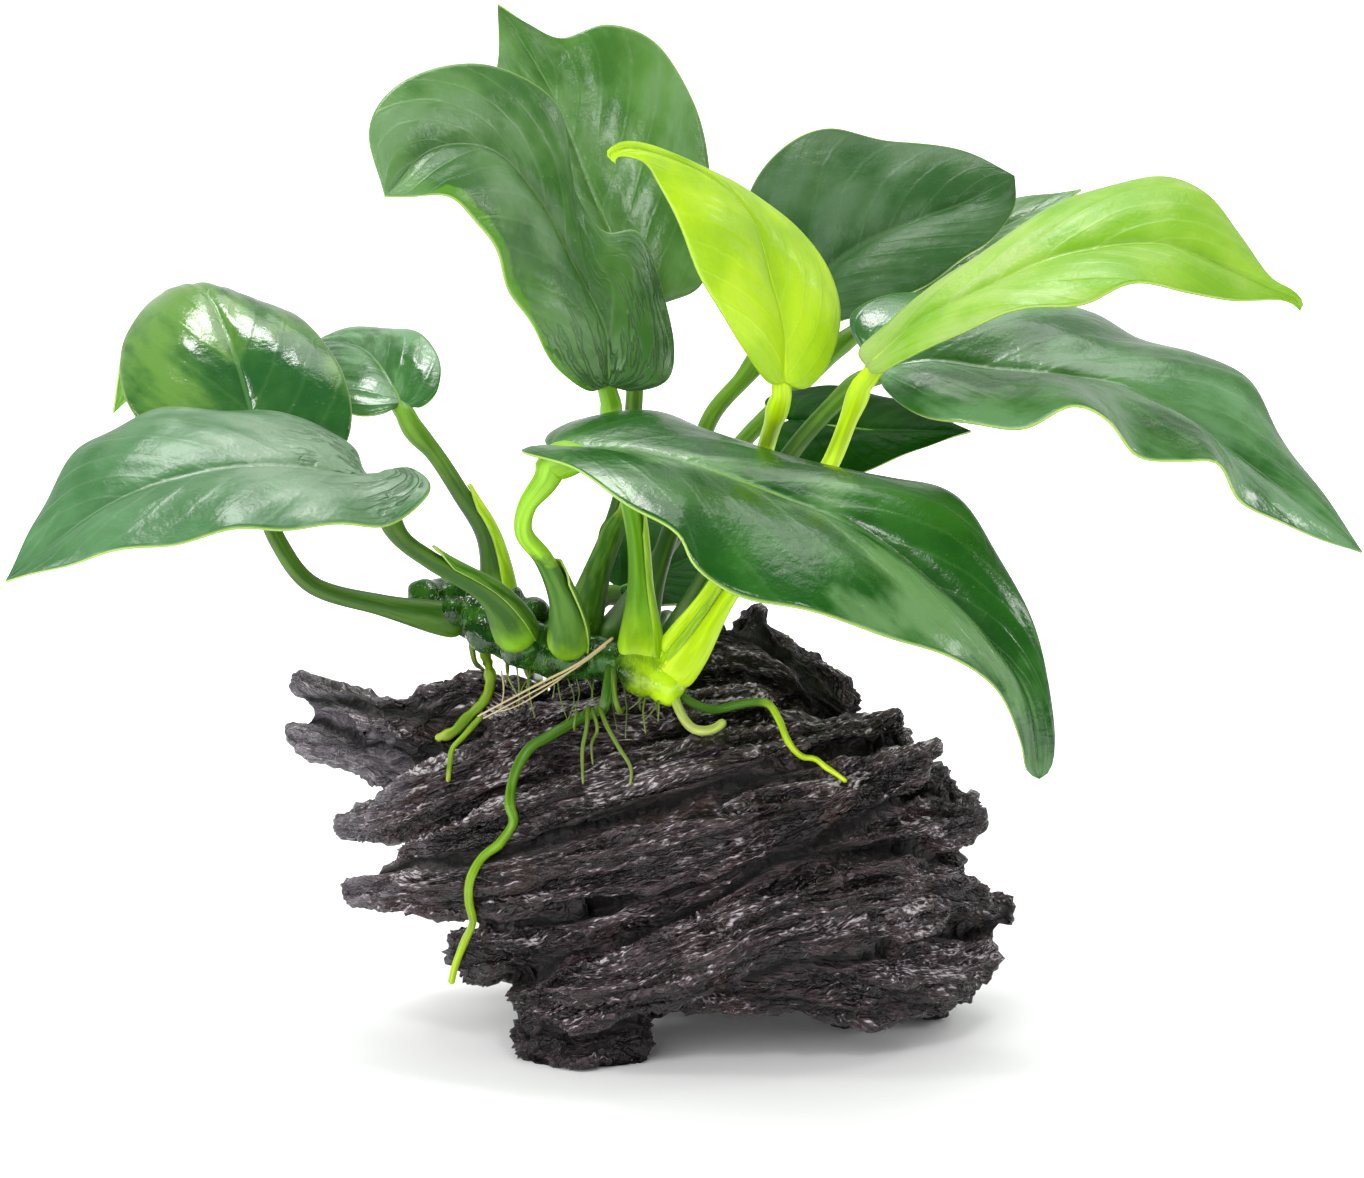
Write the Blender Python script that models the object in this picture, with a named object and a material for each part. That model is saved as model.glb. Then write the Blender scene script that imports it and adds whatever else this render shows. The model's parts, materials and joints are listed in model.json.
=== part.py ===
"""An anubias growing on a piece of driftwood.

The frame is the object's own: X to the right and Z up as seen from the front, Y away from the viewer, and the
origin under the middle of its bounding box, on the surface that the wood stands on. Lengths below are in
millimetres, and MM turns them into metres.
"""

import math

import bmesh
import bpy
from mathutils import Matrix, Vector, noise
from mathutils.bvhtree import BVHTree

MM = 0.001
GAP = 0.3
CLEARANCE = 0.48

# The plant was measured about the middle of its view. This shift puts the origin under its bounding box.
CENTRE = (1.5, 2.25)

BLADE_THICKNESS = 0.8
BLADE_ROWS = 10
BLADE_ROW_POWER = 1.25
BLADE_COLUMNS = 3
BLADE_BULGE = 0.09
MIDRIB_LAG = 1.5

STALK_SIDES = 8
STALK_RINGS = 8
STALK_RADIUS = 1.15
STALK_BASE_RADIUS = 1.9

ROOT_SIDES = 6
ROOT_RINGS_PER_STOP = 2
ROOT_SETTLING_STEPS = 3
ROOT_LIFT = 0.15
ROOT_MOST_LIFTS = 80
FAR_OFF = 120

RHIZOME_SIDES = 12
RHIZOME_RINGS = 15
KNOB_DEPTH = 0.06
KNOB_RATE = 34

STRAND_SIDES = 20
STRAND_RINGS = 30
FEWEST_FLUTES = 5
FLUTE_CHOICES = 3
FLUTE_FLOOR = 0.86
FLUTE_HEIGHT = 0.2
FLUTE_WANDER = 1.5
STRAND_LUMPS = 0.22
SEED_STEP = 1.7
WOOD_VOXEL = 1.3
BODY_TRIANGLES = 1720
FORK_TRIANGLES = 400
FOOT_TRIANGLES = 260
FLOOR_CUTTER_SIDE = 300
FLOOR_CUTTER_DEPTH = 40

# Each leaf as its three guide lines and its stalk. The midrib and both margins run from the notch where the
# stalk joins to the tip. Left and right are as seen from the notch, looking to the tip along the upper side.
LEAVES = {
    "front_left": {
        "midrib": [(-39, -12, 75.5), (-48, -15, 78), (-58.5, -19, 78.5), (-70, -24, 75.5), (-83.5, -30, 66.5)],
        "left": [(-39, -12, 75.5), (-34.5, -14, 78), (-31.5, -20, 76), (-37, -26, 73), (-47, -31, 73.5),
                 (-57, -34, 73), (-70, -35, 71), (-83.5, -30, 66.5)],
        "right": [(-39, -12, 75.5), (-41, -7, 76), (-42.5, -2, 78.5), (-47.5, 2, 81), (-55.5, 2, 82),
                  (-64.5, -2, 83), (-75.5, -12, 80.5), (-83.5, -30, 66.5)],
        "stalk": [(-38.5, -13, 75), (-36, -13, 69), (-32, -12, 65.5), (-24.5, -10, 60.5), (-20.5, -4.5, 53)],
    },
    "far_left": {
        "midrib": [(-54.5, 2, 76.5), (-56.5, 6, 83), (-59.5, 12, 90.5), (-64.5, 22, 96), (-72.5, 36, 87.5),
                   (-78.5, 42, 75)],
        "left": [(-54.5, 2, 76.5), (-58.5, -2, 74.5), (-66, -1, 77), (-72, 4, 83), (-73.5, 13, 89),
                 (-71, 24, 93), (-76, 36, 85), (-78.5, 42, 75)],
        "right": [(-54.5, 2, 76.5), (-49.5, 0, 75), (-44.5, 2, 76.5), (-43, 5, 80.5), (-45, 11, 87),
                  (-53.5, 24, 92), (-65, 38, 87.5), (-78.5, 42, 75)],
        "stalk": [(-54.5, 1, 76), (-54, -1, 70.5), (-52, -2, 65.5), (-48, -3, 60.5), (-39, -2, 57.5),
                  (-30.5, 1, 55)],
    },
    "small_left": {
        "midrib": [(-37, 13, 81.5), (-39.5, 18, 85), (-43, 25, 87), (-49, 32, 86.5), (-53.5, 38, 83)],
        "left": [(-37, 13, 81.5), (-39, 11, 80.5), (-42.5, 11, 80), (-47, 14, 81.5), (-50, 22, 83.5),
                 (-52.5, 30, 84), (-53.5, 38, 83)],
        "right": [(-37, 13, 81.5), (-34.5, 12, 81), (-32.5, 13, 82.5), (-32, 17, 86), (-34.5, 23, 88.5),
                  (-39.5, 29, 89), (-46.5, 34, 87.5), (-53.5, 38, 83)],
        "stalk": [(-36.8, 12.5, 81), (-35.5, 11.5, 78.5), (-32.5, 11, 75), (-29, 9, 70), (-25.5, 7, 64.5),
                  (-23.5, 3, 54)],
    },
    "tall_centre": {
        "midrib": [(-9.5, 1, 86), (-10, 3, 93), (-14, 4, 101.5), (-18, 3, 109.5), (-24, -1, 116.5),
                   (-31.5, -9, 117.5), (-37, -16, 112.5)],
        "left": [(-9.5, 1, 86), (-12, -1, 85.5), (-15.5, -4, 88.5), (-21, -8, 98.5), (-25, -12, 108),
                 (-29, -14, 112), (-34, -16, 112.5), (-37, -16, 112.5)],
        "right": [(-9.5, 1, 86), (-6.5, 2, 85), (-2, 4, 86), (-1, 7, 90), (-3, 9, 98), (-6, 10, 104.5),
                  (-10, 7, 105), (-14, 8, 111), (-16.5, 7, 121.5), (-24.5, 3, 127), (-35.5, -6, 125.5),
                  (-39, -13, 120.5), (-37, -16, 112.5)],
        "stalk": [(-9.2, 1, 85.5), (-9, 4, 79.5), (-7.5, 4, 73), (-6, 2, 65.5), (-5.5, -3.5, 58),
                  (-5.3, -9, 50)],
    },
    "tall_back": {
        "midrib": [(-5.5, 11, 94), (-8.5, 14, 101.5), (-12, 17, 109.5), (-17, 20, 121.5), (-22, 19, 130),
                   (-24, 17, 133.5)],
        "left": [(-5.5, 11, 94), (-8.5, 9, 92), (-14, 11, 95), (-20, 15, 103.5), (-24, 19, 113),
                 (-25, 21, 120.5), (-24, 20, 127), (-24, 17, 133.5)],
        "right": [(-5.5, 11, 94), (-2, 13, 95), (2.5, 15, 97), (3.5, 19, 105), (3.5, 22, 112),
                  (1.5, 25, 119.5), (-3.5, 27, 127.5), (-10, 25, 130), (-16, 22, 128.5), (-20.5, 19, 131),
                  (-24, 17, 133.5)],
        "stalk": [(-5.5, 11, 93.5), (-6, 11, 87.5), (-6.5, 10, 79.5), (-8, 8, 69.5), (-11.5, 4, 60),
                  (-14, -1.5, 52)],
    },
    "young_centre": {
        "midrib": [(13, -12, 88.5), (13, -11, 94.5), (11.5, -10, 101), (9, -10, 109), (3, -13, 115),
                   (-4.5, -17, 118.5), (-8.5, -20, 119)],
        "left": [(13, -12, 88.5), (11, -13, 88.5), (8, -16, 93), (3.5, -19, 100.5), (0, -20, 108.5),
                 (-3.5, -19, 115), (-8.5, -20, 119)],
        "right": [(13, -12, 88.5), (15.5, -11, 87.5), (18.5, -8, 90), (20, -4, 95.5), (18.5, -2, 101.5),
                  (15, -2, 106.5), (8.5, -5, 111.5), (1, -12, 116.5), (-8.5, -20, 119)],
        "stalk": [(13, -12, 88), (12, -9, 84), (10.5, -1, 77), (8, -0.5, 69), (3.5, -4, 60.5),
                  (-1.8, -8, 50.5)],
    },
    "back_right": {
        "midrib": [(12, 22, 88.5), (17.5, 23, 95.5), (23, 25, 100), (30.5, 27, 103.5), (38, 29, 106),
                   (44.5, 29, 109.5)],
        "left": [(12, 22, 88.5), (9.5, 23, 91), (7.5, 27, 98.5), (9.5, 32, 108), (14, 35, 112.5),
                 (20, 37, 115), (28, 37, 113), (37, 35, 112.5), (44.5, 29, 109.5)],
        "right": [(12, 22, 88.5), (15, 20, 88), (20.5, 17.5, 91.5), (26.5, 17.5, 93.5), (35, 20, 98),
                  (41, 24, 101.5), (44.5, 28, 105.5), (44.5, 29, 109.5)],
        "stalk": [(11.5, 21.5, 88), (8.5, 20, 84), (4, 18, 79), (1, 14, 71), (-3, 7, 61), (-6.4, -2.3, 51)],
    },
    "young_right": {
        "midrib": [(23.5, -9, 90), (29.5, -9, 95.5), (38.5, -9, 100), (47.5, -9, 104), (60.5, -9, 105.5),
                   (71.5, -10, 101.5), (77.5, -11, 98.5)],
        "left": [(23.5, -9, 90), (22.5, -7, 91.5), (26, -4, 94.5), (33, -1, 99.5), (42, 2, 105),
                 (51, 4, 110), (61, 4, 112.5), (67, 1, 110.5), (71, -3, 106), (77.5, -11, 98.5)],
        "right": [(23.5, -9, 90), (24.5, -12, 89.5), (28, -14, 91.5), (34.5, -17, 95.5), (43, -20, 99),
                  (50, -21, 100), (56, -20, 102), (63, -18, 101), (70, -15, 99), (77.5, -11, 98.5)],
        "stalk": [(23.5, -9, 89.5), (21.5, -7, 83.5), (18.5, -4, 75.5), (13, -5, 67.5), (8, -6.5, 60),
                  (3, -10, 52), (0.2, -10.5, 47.5)],
    },
    "wide_right": {
        "midrib": [(25.5, 2, 88), (32, 1, 89), (41, -1, 88), (49.5, -3, 87.5), (56.5, -4, 86.5),
                   (64.5, -6, 82.5), (72, -8, 77.5), (79.5, -10, 72), (86.5, -12, 66.5)],
        "left": [(25.5, 2, 88), (23, 5, 90.5), (22, 8.5, 93.5), (27.5, 12, 96), (37.5, 15.5, 96), (48, 17, 95),
                 (54, 17, 93), (59.5, 13, 89.5), (67, 9, 89), (73, 5, 86), (77, 0, 80), (82, -6, 73),
                 (86.5, -12, 66.5)],
        "right": [(25.5, 2, 88), (26, -3, 86), (29, -9, 84.5), (35.5, -15, 83.5), (42.5, -19, 84),
                  (48.5, -21, 86.5), (53, -22, 85), (57, -21, 81), (62.5, -20, 79.5), (67, -19, 79),
                  (70.5, -17, 74), (76, -15, 70.5), (86.5, -12, 66.5)],
        "stalk": [(25, 2, 87.5), (21, 2, 84.5), (14.5, 3.5, 77), (10, 3.5, 69), (6, 0, 60), (1.5, -6.2, 49.5)],
    },
    "far_back": {
        "midrib": [(25, 34, 89.5), (33.5, 37, 95.5), (43.5, 40, 101), (54.5, 42, 106)],
        "left": [(25, 34, 89.5), (22.5, 37, 91.5), (25, 44, 97.5), (34, 48, 102), (45, 48, 103.5),
                 (54.5, 42, 106)],
        "right": [(25, 34, 89.5), (28.5, 31, 89), (35.5, 30, 92), (43.5, 33, 98.5), (50, 38, 103),
                  (54.5, 42, 106)],
        "stalk": [(24.5, 33.5, 89), (17.5, 30, 82.5), (8.5, 25, 74.5), (0, 17, 64.5), (-6.5, 7, 56),
                  (-10.4, -1.7, 51)],
    },
    "under_right": {
        "midrib": [(14.5, 14, 79), (21, 13, 78.5), (28.5, 12, 78), (38, 11, 78)],
        "left": [(14.5, 14, 79), (11, 16, 80.5), (13.5, 21, 81.5), (21, 24, 81.5), (29.5, 20, 80.5),
                 (38, 11, 78)],
        "right": [(14.5, 14, 79), (10.5, 12, 77), (12, 9.5, 75), (18, 7.5, 73), (25, 8, 73.5), (31, 9, 76),
                  (38, 11, 78)],
        "stalk": [(14, 14, 78.5), (10.5, 12, 71.5), (5.5, 9, 63), (1, 3.5, 56), (-2.4, -3.8, 50)],
    },
    "front": {
        "midrib": [(-16, -17, 80.5), (-8, -19, 81), (2.5, -22, 79.5), (13.5, -25, 76), (22, -27, 72.5),
                   (30, -29, 67), (38, -31, 59.5), (43, -32, 52), (44.5, -32, 42)],
        "left": [(-16, -17, 80.5), (-19.5, -12, 80.5), (-17.5, -6, 80.5), (-13.5, -3, 81), (-8.5, 0, 82),
                 (-2, 1, 81.5), (5, -1, 79.5), (15, -7, 77), (27, -13, 76.5), (34.5, -18, 74.5),
                 (39.5, -23, 68.5), (44, -28, 58.5), (45.5, -31, 50), (44.5, -32, 42)],
        "right": [(-16, -17, 80.5), (-16.5, -22, 80.5), (-13, -29, 80), (-6.5, -36, 77.5), (-0.5, -40, 74),
                  (1.5, -42, 71), (7, -43, 68), (15.5, -44, 65.5), (24, -43, 63), (32.5, -40, 59),
                  (39, -36, 54), (42, -34, 48), (44.5, -32, 42)],
        "stalk": [(-16, -17, 80), (-17, -17, 77), (-19.5, -17, 73.5), (-20, -16, 70), (-17.5, -14, 66),
                  (-15, -11, 59), (-14.5, -7, 52)],
    },
    "low_back": {
        "midrib": [(-8.5, 13, 56.5), (-3.5, 19, 57.5), (1.5, 27, 58), (7.5, 38, 57)],
        "left": [(-8.5, 13, 56.5), (-10.5, 15, 58), (-11, 21, 63), (-7.5, 27, 64), (-1.5, 34, 61.5),
                 (7.5, 38, 57)],
        "right": [(-8.5, 13, 56.5), (-6, 10, 55), (-2.5, 11, 54.5), (2.5, 17, 54), (6, 28, 55), (7.5, 38, 57)],
        "stalk": [(-9, 12.5, 56.5), (-12.5, 9, 55), (-16.5, 4, 53.5), (-18, -0.5, 51.5)],
    },
}
YOUNG_LEAVES = ("young_centre", "young_right")

# The creeping stem, from its blunt old end to its growing tip, with the radius at each point.
RHIZOME = [(-34, 7, 57), (-31, 5.5, 56.5), (-27, 2.5, 55), (-22, -1, 52.5), (-16.5, -4, 50.5), (-9.5, -6, 49.5),
           (-3.5, -8, 48.5), (-0.5, -9.5, 46.5)]
RHIZOME_RADII = [2.6, 3.3, 3.4, 3.0, 3.2, 3.1, 3.0, 2.0]

# A root's route. A point of two numbers is where it lies on the wood as seen from its side, across and up, and
# a point of three numbers is a place in the air. The side is -1 for the front and 1 for the back.
ROOTS = {
    "root_long_front": {
        "side": -1, "radius": 0.95, "tip": 0.6,
        "route": [(-9, -8.5, 49.5), (-9.3, 46.5), (-10.8, 45), (-13.7, 43.8), (-17.5, 42), (-19.5, 41),
                  (-21.3, 38.3), (-22, 35), (-21.5, 32.5), (-23.2, 29.8), (-25.7, 27.8), (-27, 25.5),
                  (-27.2, 22.7), (-26.8, 19.4), (-28, -16, 16.2), (-29.2, -16, 13), (-29.8, -16, 10.5)],
    },
    "root_left": {
        "side": -1, "radius": 0.9, "tip": 0.8,
        "route": [(-26.3, 1.5, 52), (-25.3, 46), (-26, 43), (-28.5, 40.5), (-30, 39), (-32.3, 38)],
    },
    "root_left_branch": {
        "side": -1, "radius": 0.5, "tip": 0.3,
        "route": [(-29.6, 37), (-30, 36), (-30.2, 34.5)],
    },
    "root_right": {
        "side": -1, "radius": 0.75, "tip": 0.35,
        "route": [(1.4, -8.5, 46.5), (5, 46), (8, 46.5), (10.9, 46.8), (12.2, 45.2), (14, 42.3), (17, 41.3),
                  (19, 39.7), (21, 38.3)],
    },
    "root_short": {
        "side": -1, "radius": 0.75, "tip": 0.7,
        "route": [(-1.2, -12, 46), (0.8, 44.5), (2.5, 44), (4.5, 45)],
    },
    "root_back_left": {
        "side": 1, "radius": 0.85, "tip": 0.5,
        "route": [(-21, 1.5, 52), (-21, 6, 49.8), (-21, 11, 48.8), (-20.7, 15.5, 45.8), (-20.4, 20, 43.2),
                  (-20, 24.5, 42), (-19.6, 28, 40.6), (-19, 36.5), (-20.5, 34), (-22, 31), (-21.5, 28),
                  (-19.8, 25.5), (-20.3, 23), (-21.3, 21)],
    },
    "root_back_right": {
        "side": 1, "radius": 0.8, "tip": 0.4,
        "route": [(-5, -3.5, 49), (-4.5, 0.5, 48), (-4, 5, 49.5), (-3.2, 9, 52), (-2.4, 13, 52.8), (-1.4, 17, 51.6),
                  (-0.4, 20.5, 48.4), (0.6, 24, 46), (1.4, 28, 44.6), (2, 40.5), (3.5, 37.5), (4.8, 34),
                  (4.5, 30.5), (3.5, 27.5), (4.5, 24.5), (7, 22), (8, 19), (7, 16)],
    },
}

# Driftwood strands: centre line and radius at each point. Each is fluted along its length, as the grain is.
BODY_STRANDS = [
    [((-30, 6, 24), 3.5), ((-20, 6, 24), 9), ((-5, 4, 24), 12), ((13, 4, 25), 13), ((27, 2, 24), 10),
     ((37, 0, 22), 4)],
    [((-18, 10, 38), 6), ((-5.5, 12, 42), 7.5), ((5, 14, 43.5), 7.5), ((14.5, 14, 41), 6.2),
     ((23, 12, 37.5), 3.6)],
    [((0, 13, 38.5), 6), ((6, 15, 45), 4.2), ((9.5, 16, 50.5), 2.2), ((10.3, 16, 53.8), 0.7)],
    [((-46, 2, 26.5), 1.4), ((-38.5, -1, 29), 4.3), ((-27.5, -4, 34), 5.5), ((-16, -4, 38), 6.5),
     ((-0.5, -3, 39), 6.5), ((13, 0, 41.5), 5)],
    [((-36.5, -9, 25), 3), ((-26, -13, 28), 5), ((-10.5, -15, 33.5), 6), ((5, -14, 37.5), 6.2),
     ((19, -11, 40), 5), ((29.5, -8, 42.5), 2.8)],
    [((-44.5, -9, 20.5), 1.8), ((-37.5, -11, 21.5), 4.8), ((-26, -15, 23.5), 5.7), ((-10.5, -18, 27.5), 6),
     ((5, -18, 32), 6.2), ((21.5, -15, 36), 5.5), ((33.5, -12, 41.5), 1.5)],
    [((-30, -9, 12.5), 3.6), ((-21, -13, 14.5), 5.5), ((-10.5, -15, 18), 6), ((2.5, -16, 22.5), 6),
     ((15, -15, 27.5), 6.3), ((28, -12, 30), 5.2), ((40, -8, 30.5), 1.5)],
    [((-22, -15, 9), 2), ((-15, -18, 11), 4.5), ((-6, -20, 13), 5.3), ((2.5, -21, 16.5), 6),
     ((13.5, -20, 21), 7.3), ((25.5, -16, 22.5), 7), ((35, -10, 20.5), 4.2), ((41.5, -6, 17.5), 1.8)],
    [((-5.5, -14, 10.5), 4), ((5, -16, 12), 5), ((15, -16, 13), 6.5), ((25.5, -13, 12.5), 8),
     ((35, -8, 11), 5.5), ((41, -4, 12.5), 2.2)],
    [((-38, 17, 33), 2.5), ((-25, 21, 35), 5.5), ((-5, 23, 36), 7.5), ((15, 21, 36), 6.5), ((31, 14, 34), 2.5)],
    [((-36, 18, 21), 2), ((-22, 23, 23), 5.5), ((0, 26, 25), 7), ((20, 23, 26), 7), ((38, 14, 25), 2.5)],
    [((-27, 17, 10), 2.5), ((-12, 21, 12), 6), ((8, 24, 14), 7), ((25, 18, 13), 7), ((39, 8, 15), 2.5)],
    [((-20, 5, 15), 5), ((-5, 4, 13.5), 8), ((12, 4, 14), 8.5), ((27, 3, 15.5), 8), ((37, 2, 17), 4)],
    [((-13, 17, 13), 5.5), ((-16, 19, 6), 5), ((-17.5, 20, 0), 4.4)],
    [((20, -1, 12), 6.5), ((22, 0, 5), 5), ((22.5, 0.5, 0), 4)],
    [((31, 2, 12), 5.5), ((33, 3, 5), 4), ((33.5, 3.5, 0), 3)],
]
FORK_STRANDS = [
    [((-52, 13, 44.5), 1.4), ((-47, 13, 41.5), 3.4), ((-37.5, 11, 38.8), 4), ((-28, 9, 40.5), 6),
     ((-18, 8, 39), 7)],
    [((-53, 12, 37.5), 1.4), ((-47, 11, 36.5), 4), ((-37.5, 10, 35.3), 5.2), ((-26.5, 8, 35), 6)],
]
FOOT_STRANDS = [
    [((-22, -15, 3), 3), ((-15.5, -14.5, 4), 5.5), ((-8, -14, 4.5), 6), ((-4, -13, 4.5), 4.8)],
    [((-17, -14, 4), 4.5), ((-14, -14.5, 9), 4.5), ((-10, -15, 14), 4)],
]

COLOURS = {
    "wood": ((0.022, 0.016, 0.014, 1), 0.45),
    "dark_leaf": ((0.035, 0.13, 0.03, 1), 0.25),
    "young_leaf": ((0.33, 0.56, 0.03, 1), 0.35),
    "dark_stalk": ((0.06, 0.17, 0.025, 1), 0.35),
    "young_stalk": ((0.32, 0.55, 0.03, 1), 0.35),
    "rhizome": ((0.04, 0.12, 0.02, 1), 0.3),
    "root": ((0.16, 0.34, 0.02, 1), 0.4),
}


def clear_scene():
    for obj in list(bpy.data.objects):
        bpy.data.objects.remove(obj, do_unlink=True)


def place(point):
    """A point in millimetres as the plant was measured, in metres about the object's origin."""
    return Vector((point[0] - CENTRE[0], point[1] - CENTRE[1], point[2])) * MM


def material(name):
    found = bpy.data.materials.get(name)
    if found:
        return found
    colour, roughness = COLOURS[name]
    made = bpy.data.materials.new(name)
    made.use_nodes = True
    shader = made.node_tree.nodes["Principled BSDF"]
    shader.inputs["Base Color"].default_value = colour
    shader.inputs["Roughness"].default_value = roughness
    shader.inputs["Metallic"].default_value = 0.0
    made.diffuse_color = colour
    return made


def object_from(name, bm, finish, parent):
    bmesh.ops.recalc_face_normals(bm, faces=bm.faces)
    mesh = bpy.data.meshes.new(name)
    bm.to_mesh(mesh)
    bm.free()
    mesh.materials.append(material(finish))
    obj = bpy.data.objects.new(name, mesh)
    bpy.context.scene.collection.objects.link(obj)
    obj.parent = parent
    return obj


def hide_as_cutter(obj):
    obj.hide_render = True
    obj.display_type = "WIRE"
    return obj


def smooth_line(points, steps=10):
    """A smooth curve through the points, which slows down where they are close together."""
    points = [Vector(p) for p in points]
    knots = [0.0]
    for a, b in zip(points, points[1:]):
        knots.append(knots[-1] + max((b - a).length, 1e-9) ** 0.5)
    slopes = []
    last = len(points) - 1
    for i in range(last + 1):
        before, after = max(i - 1, 0), min(i + 1, last)
        if before == i or after == i:
            slopes.append((points[after] - points[before]) / (knots[after] - knots[before]))
            continue
        h0, h1 = knots[i] - knots[before], knots[after] - knots[i]
        a = (points[i] - points[before]) / h0
        b = (points[after] - points[i]) / h1
        slopes.append((a * h1 + b * h0) / (h0 + h1))
    line = []
    for i in range(last):
        h = knots[i + 1] - knots[i]
        for k in range(steps):
            s = k / steps
            line.append(
                (2 * s**3 - 3 * s**2 + 1) * points[i] + (s**3 - 2 * s**2 + s) * h * slopes[i]
                + (-2 * s**3 + 3 * s**2) * points[i + 1] + (s**3 - s**2) * h * slopes[i + 1]
            )
    line.append(points[-1])
    return line


def lengths_along(line):
    total = [0.0]
    for a, b in zip(line, line[1:]):
        total.append(total[-1] + (b - a).length)
    return total


def sample(line, shares):
    """The points at these shares of the line's length."""
    along = lengths_along(line)
    found, i = [], 0
    for share in shares:
        want = share * along[-1]
        while i < len(line) - 2 and along[i + 1] < want:
            i += 1
        span = max(along[i + 1] - along[i], 1e-9)
        found.append(line[i].lerp(line[i + 1], min(max((want - along[i]) / span, 0), 1)))
    return found


def shares(count, power=1.0):
    return [(i / (count - 1)) ** power for i in range(count)]


def between(values, share):
    """The value at this share of a list of evenly spaced values."""
    along = share * (len(values) - 1)
    i = min(int(along), len(values) - 2)
    return values[i] + (values[i + 1] - values[i]) * (along - i)


def frames(line):
    """Two unit vectors across the line at each point, which turn with it and don't twist."""
    directions = [(line[min(i + 1, len(line) - 1)] - line[max(i - 1, 0)]).normalized() for i in range(len(line))]
    across = directions[0].orthogonal().normalized()
    found = []
    for direction in directions:
        across = (across - direction * across.dot(direction)).normalized()
        found.append((across, direction.cross(across)))
    return found


def add_tube(bm, line, radius_at, sides, section=None):
    """A closed round tube along the line. section(share, angle) is a factor on the radius."""
    rings = []
    along = lengths_along(line)
    for point, (across, up), distance in zip(line, frames(line), along):
        share = distance / along[-1]
        ring = []
        for k in range(sides):
            angle = 2 * math.pi * k / sides
            radius = radius_at(share) * (section(share, angle) if section else 1)
            ring.append(bm.verts.new(point + (across * math.cos(angle) + up * math.sin(angle)) * radius))
        rings.append(ring)
    for ring, following in zip(rings, rings[1:]):
        for k in range(sides):
            n = (k + 1) % sides
            bm.faces.new((ring[k], ring[n], following[n], following[k]))
    bm.faces.new(rings[0][::-1])
    bm.faces.new(rings[-1])


def blade_surface(leaf):
    """Rows of points over the leaf from notch to tip, each row from the left margin to the right one."""
    sides = {key: smooth_line([place(p) for p in leaf[key]]) for key in ("midrib", "left", "right")}
    steps = shares(BLADE_ROWS + 1, BLADE_ROW_POWER)
    midrib = sample(sides["midrib"], [s**MIDRIB_LAG for s in steps])
    left, right = (sample(sides[key], steps) for key in ("left", "right"))
    rows = []
    for i in range(1, BLADE_ROWS):
        heading = midrib[i + 1] - midrib[i - 1]
        upward = heading.cross(left[i] - right[i]).normalized()
        row = []
        for column in range(-BLADE_COLUMNS, BLADE_COLUMNS + 1):
            share = abs(column) / BLADE_COLUMNS
            margin = left[i] if column < 0 else right[i]
            lift = BLADE_BULGE * 4 * share * (1 - share) * (margin - midrib[i]).length
            row.append(midrib[i].lerp(margin, share) + upward * lift)
        rows.append(row)
    return midrib[0], rows, midrib[-1]


def blade(name, leaf, finish, parent, extra=0.0):
    """The leaf's surface, thickened to both sides. extra widens it, for a cutter."""
    base, rows, tip = blade_surface(leaf)
    bm = bmesh.new()
    grid = [[bm.verts.new(point) for point in row] for row in rows]
    ends = (bm.verts.new(base), bm.verts.new(tip))
    for row, following in zip(grid, grid[1:]):
        for k in range(len(row) - 1):
            bm.faces.new((row[k], row[k + 1], following[k + 1], following[k]))
    for end, row in zip(ends, (grid[0], grid[-1])):
        for k in range(len(row) - 1):
            corners = (end, row[k + 1], row[k]) if row is grid[0] else (end, row[k], row[k + 1])
            bm.faces.new(corners)
    obj = object_from(name, bm, finish, parent)
    wall = obj.modifiers.new("Thickness", "SOLIDIFY")
    wall.thickness = (BLADE_THICKNESS + 2 * extra) * MM
    wall.offset = 0
    wall.use_even_offset = False
    return obj


def cut_away(obj, cutter):
    cut = obj.modifiers.new("Clear of " + cutter.name, "BOOLEAN")
    cut.operation = "DIFFERENCE"
    cut.solver = "EXACT"
    cut.use_self = True
    cut.object = cutter


def baked(obj):
    """Replaces the object's mesh by what its modifiers make of it."""
    graph = bpy.context.evaluated_depsgraph_get()
    mesh = bpy.data.meshes.new_from_object(obj.evaluated_get(graph))
    obj.modifiers.clear()
    obj.data = mesh
    return obj


def swollen(obj, name):
    """A cutter that stands off the object's surface by the clearance between pieces."""
    cutter = bpy.data.objects.new(name, obj.data.copy())
    bpy.context.scene.collection.objects.link(cutter)
    cutter.parent = obj.parent
    grow = cutter.modifiers.new("Grow", "DISPLACE")
    grow.strength = CLEARANCE * MM
    grow.mid_level = 0
    return hide_as_cutter(baked(cutter))


def grain_section(seed, flutes):
    """Ridges that run along a strand and wander a little, as the grain of weathered wood does."""
    def section(share, angle):
        wander = FLUTE_WANDER * noise.noise(Vector((share * 3, seed, 0)))
        ridge = abs(math.sin(flutes * (angle + wander) / 2 + seed))
        lump = noise.noise(Vector((share * 5 + seed, math.cos(angle), math.sin(angle))))
        return FLUTE_FLOOR + FLUTE_HEIGHT * ridge + STRAND_LUMPS * lump
    return section


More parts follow.
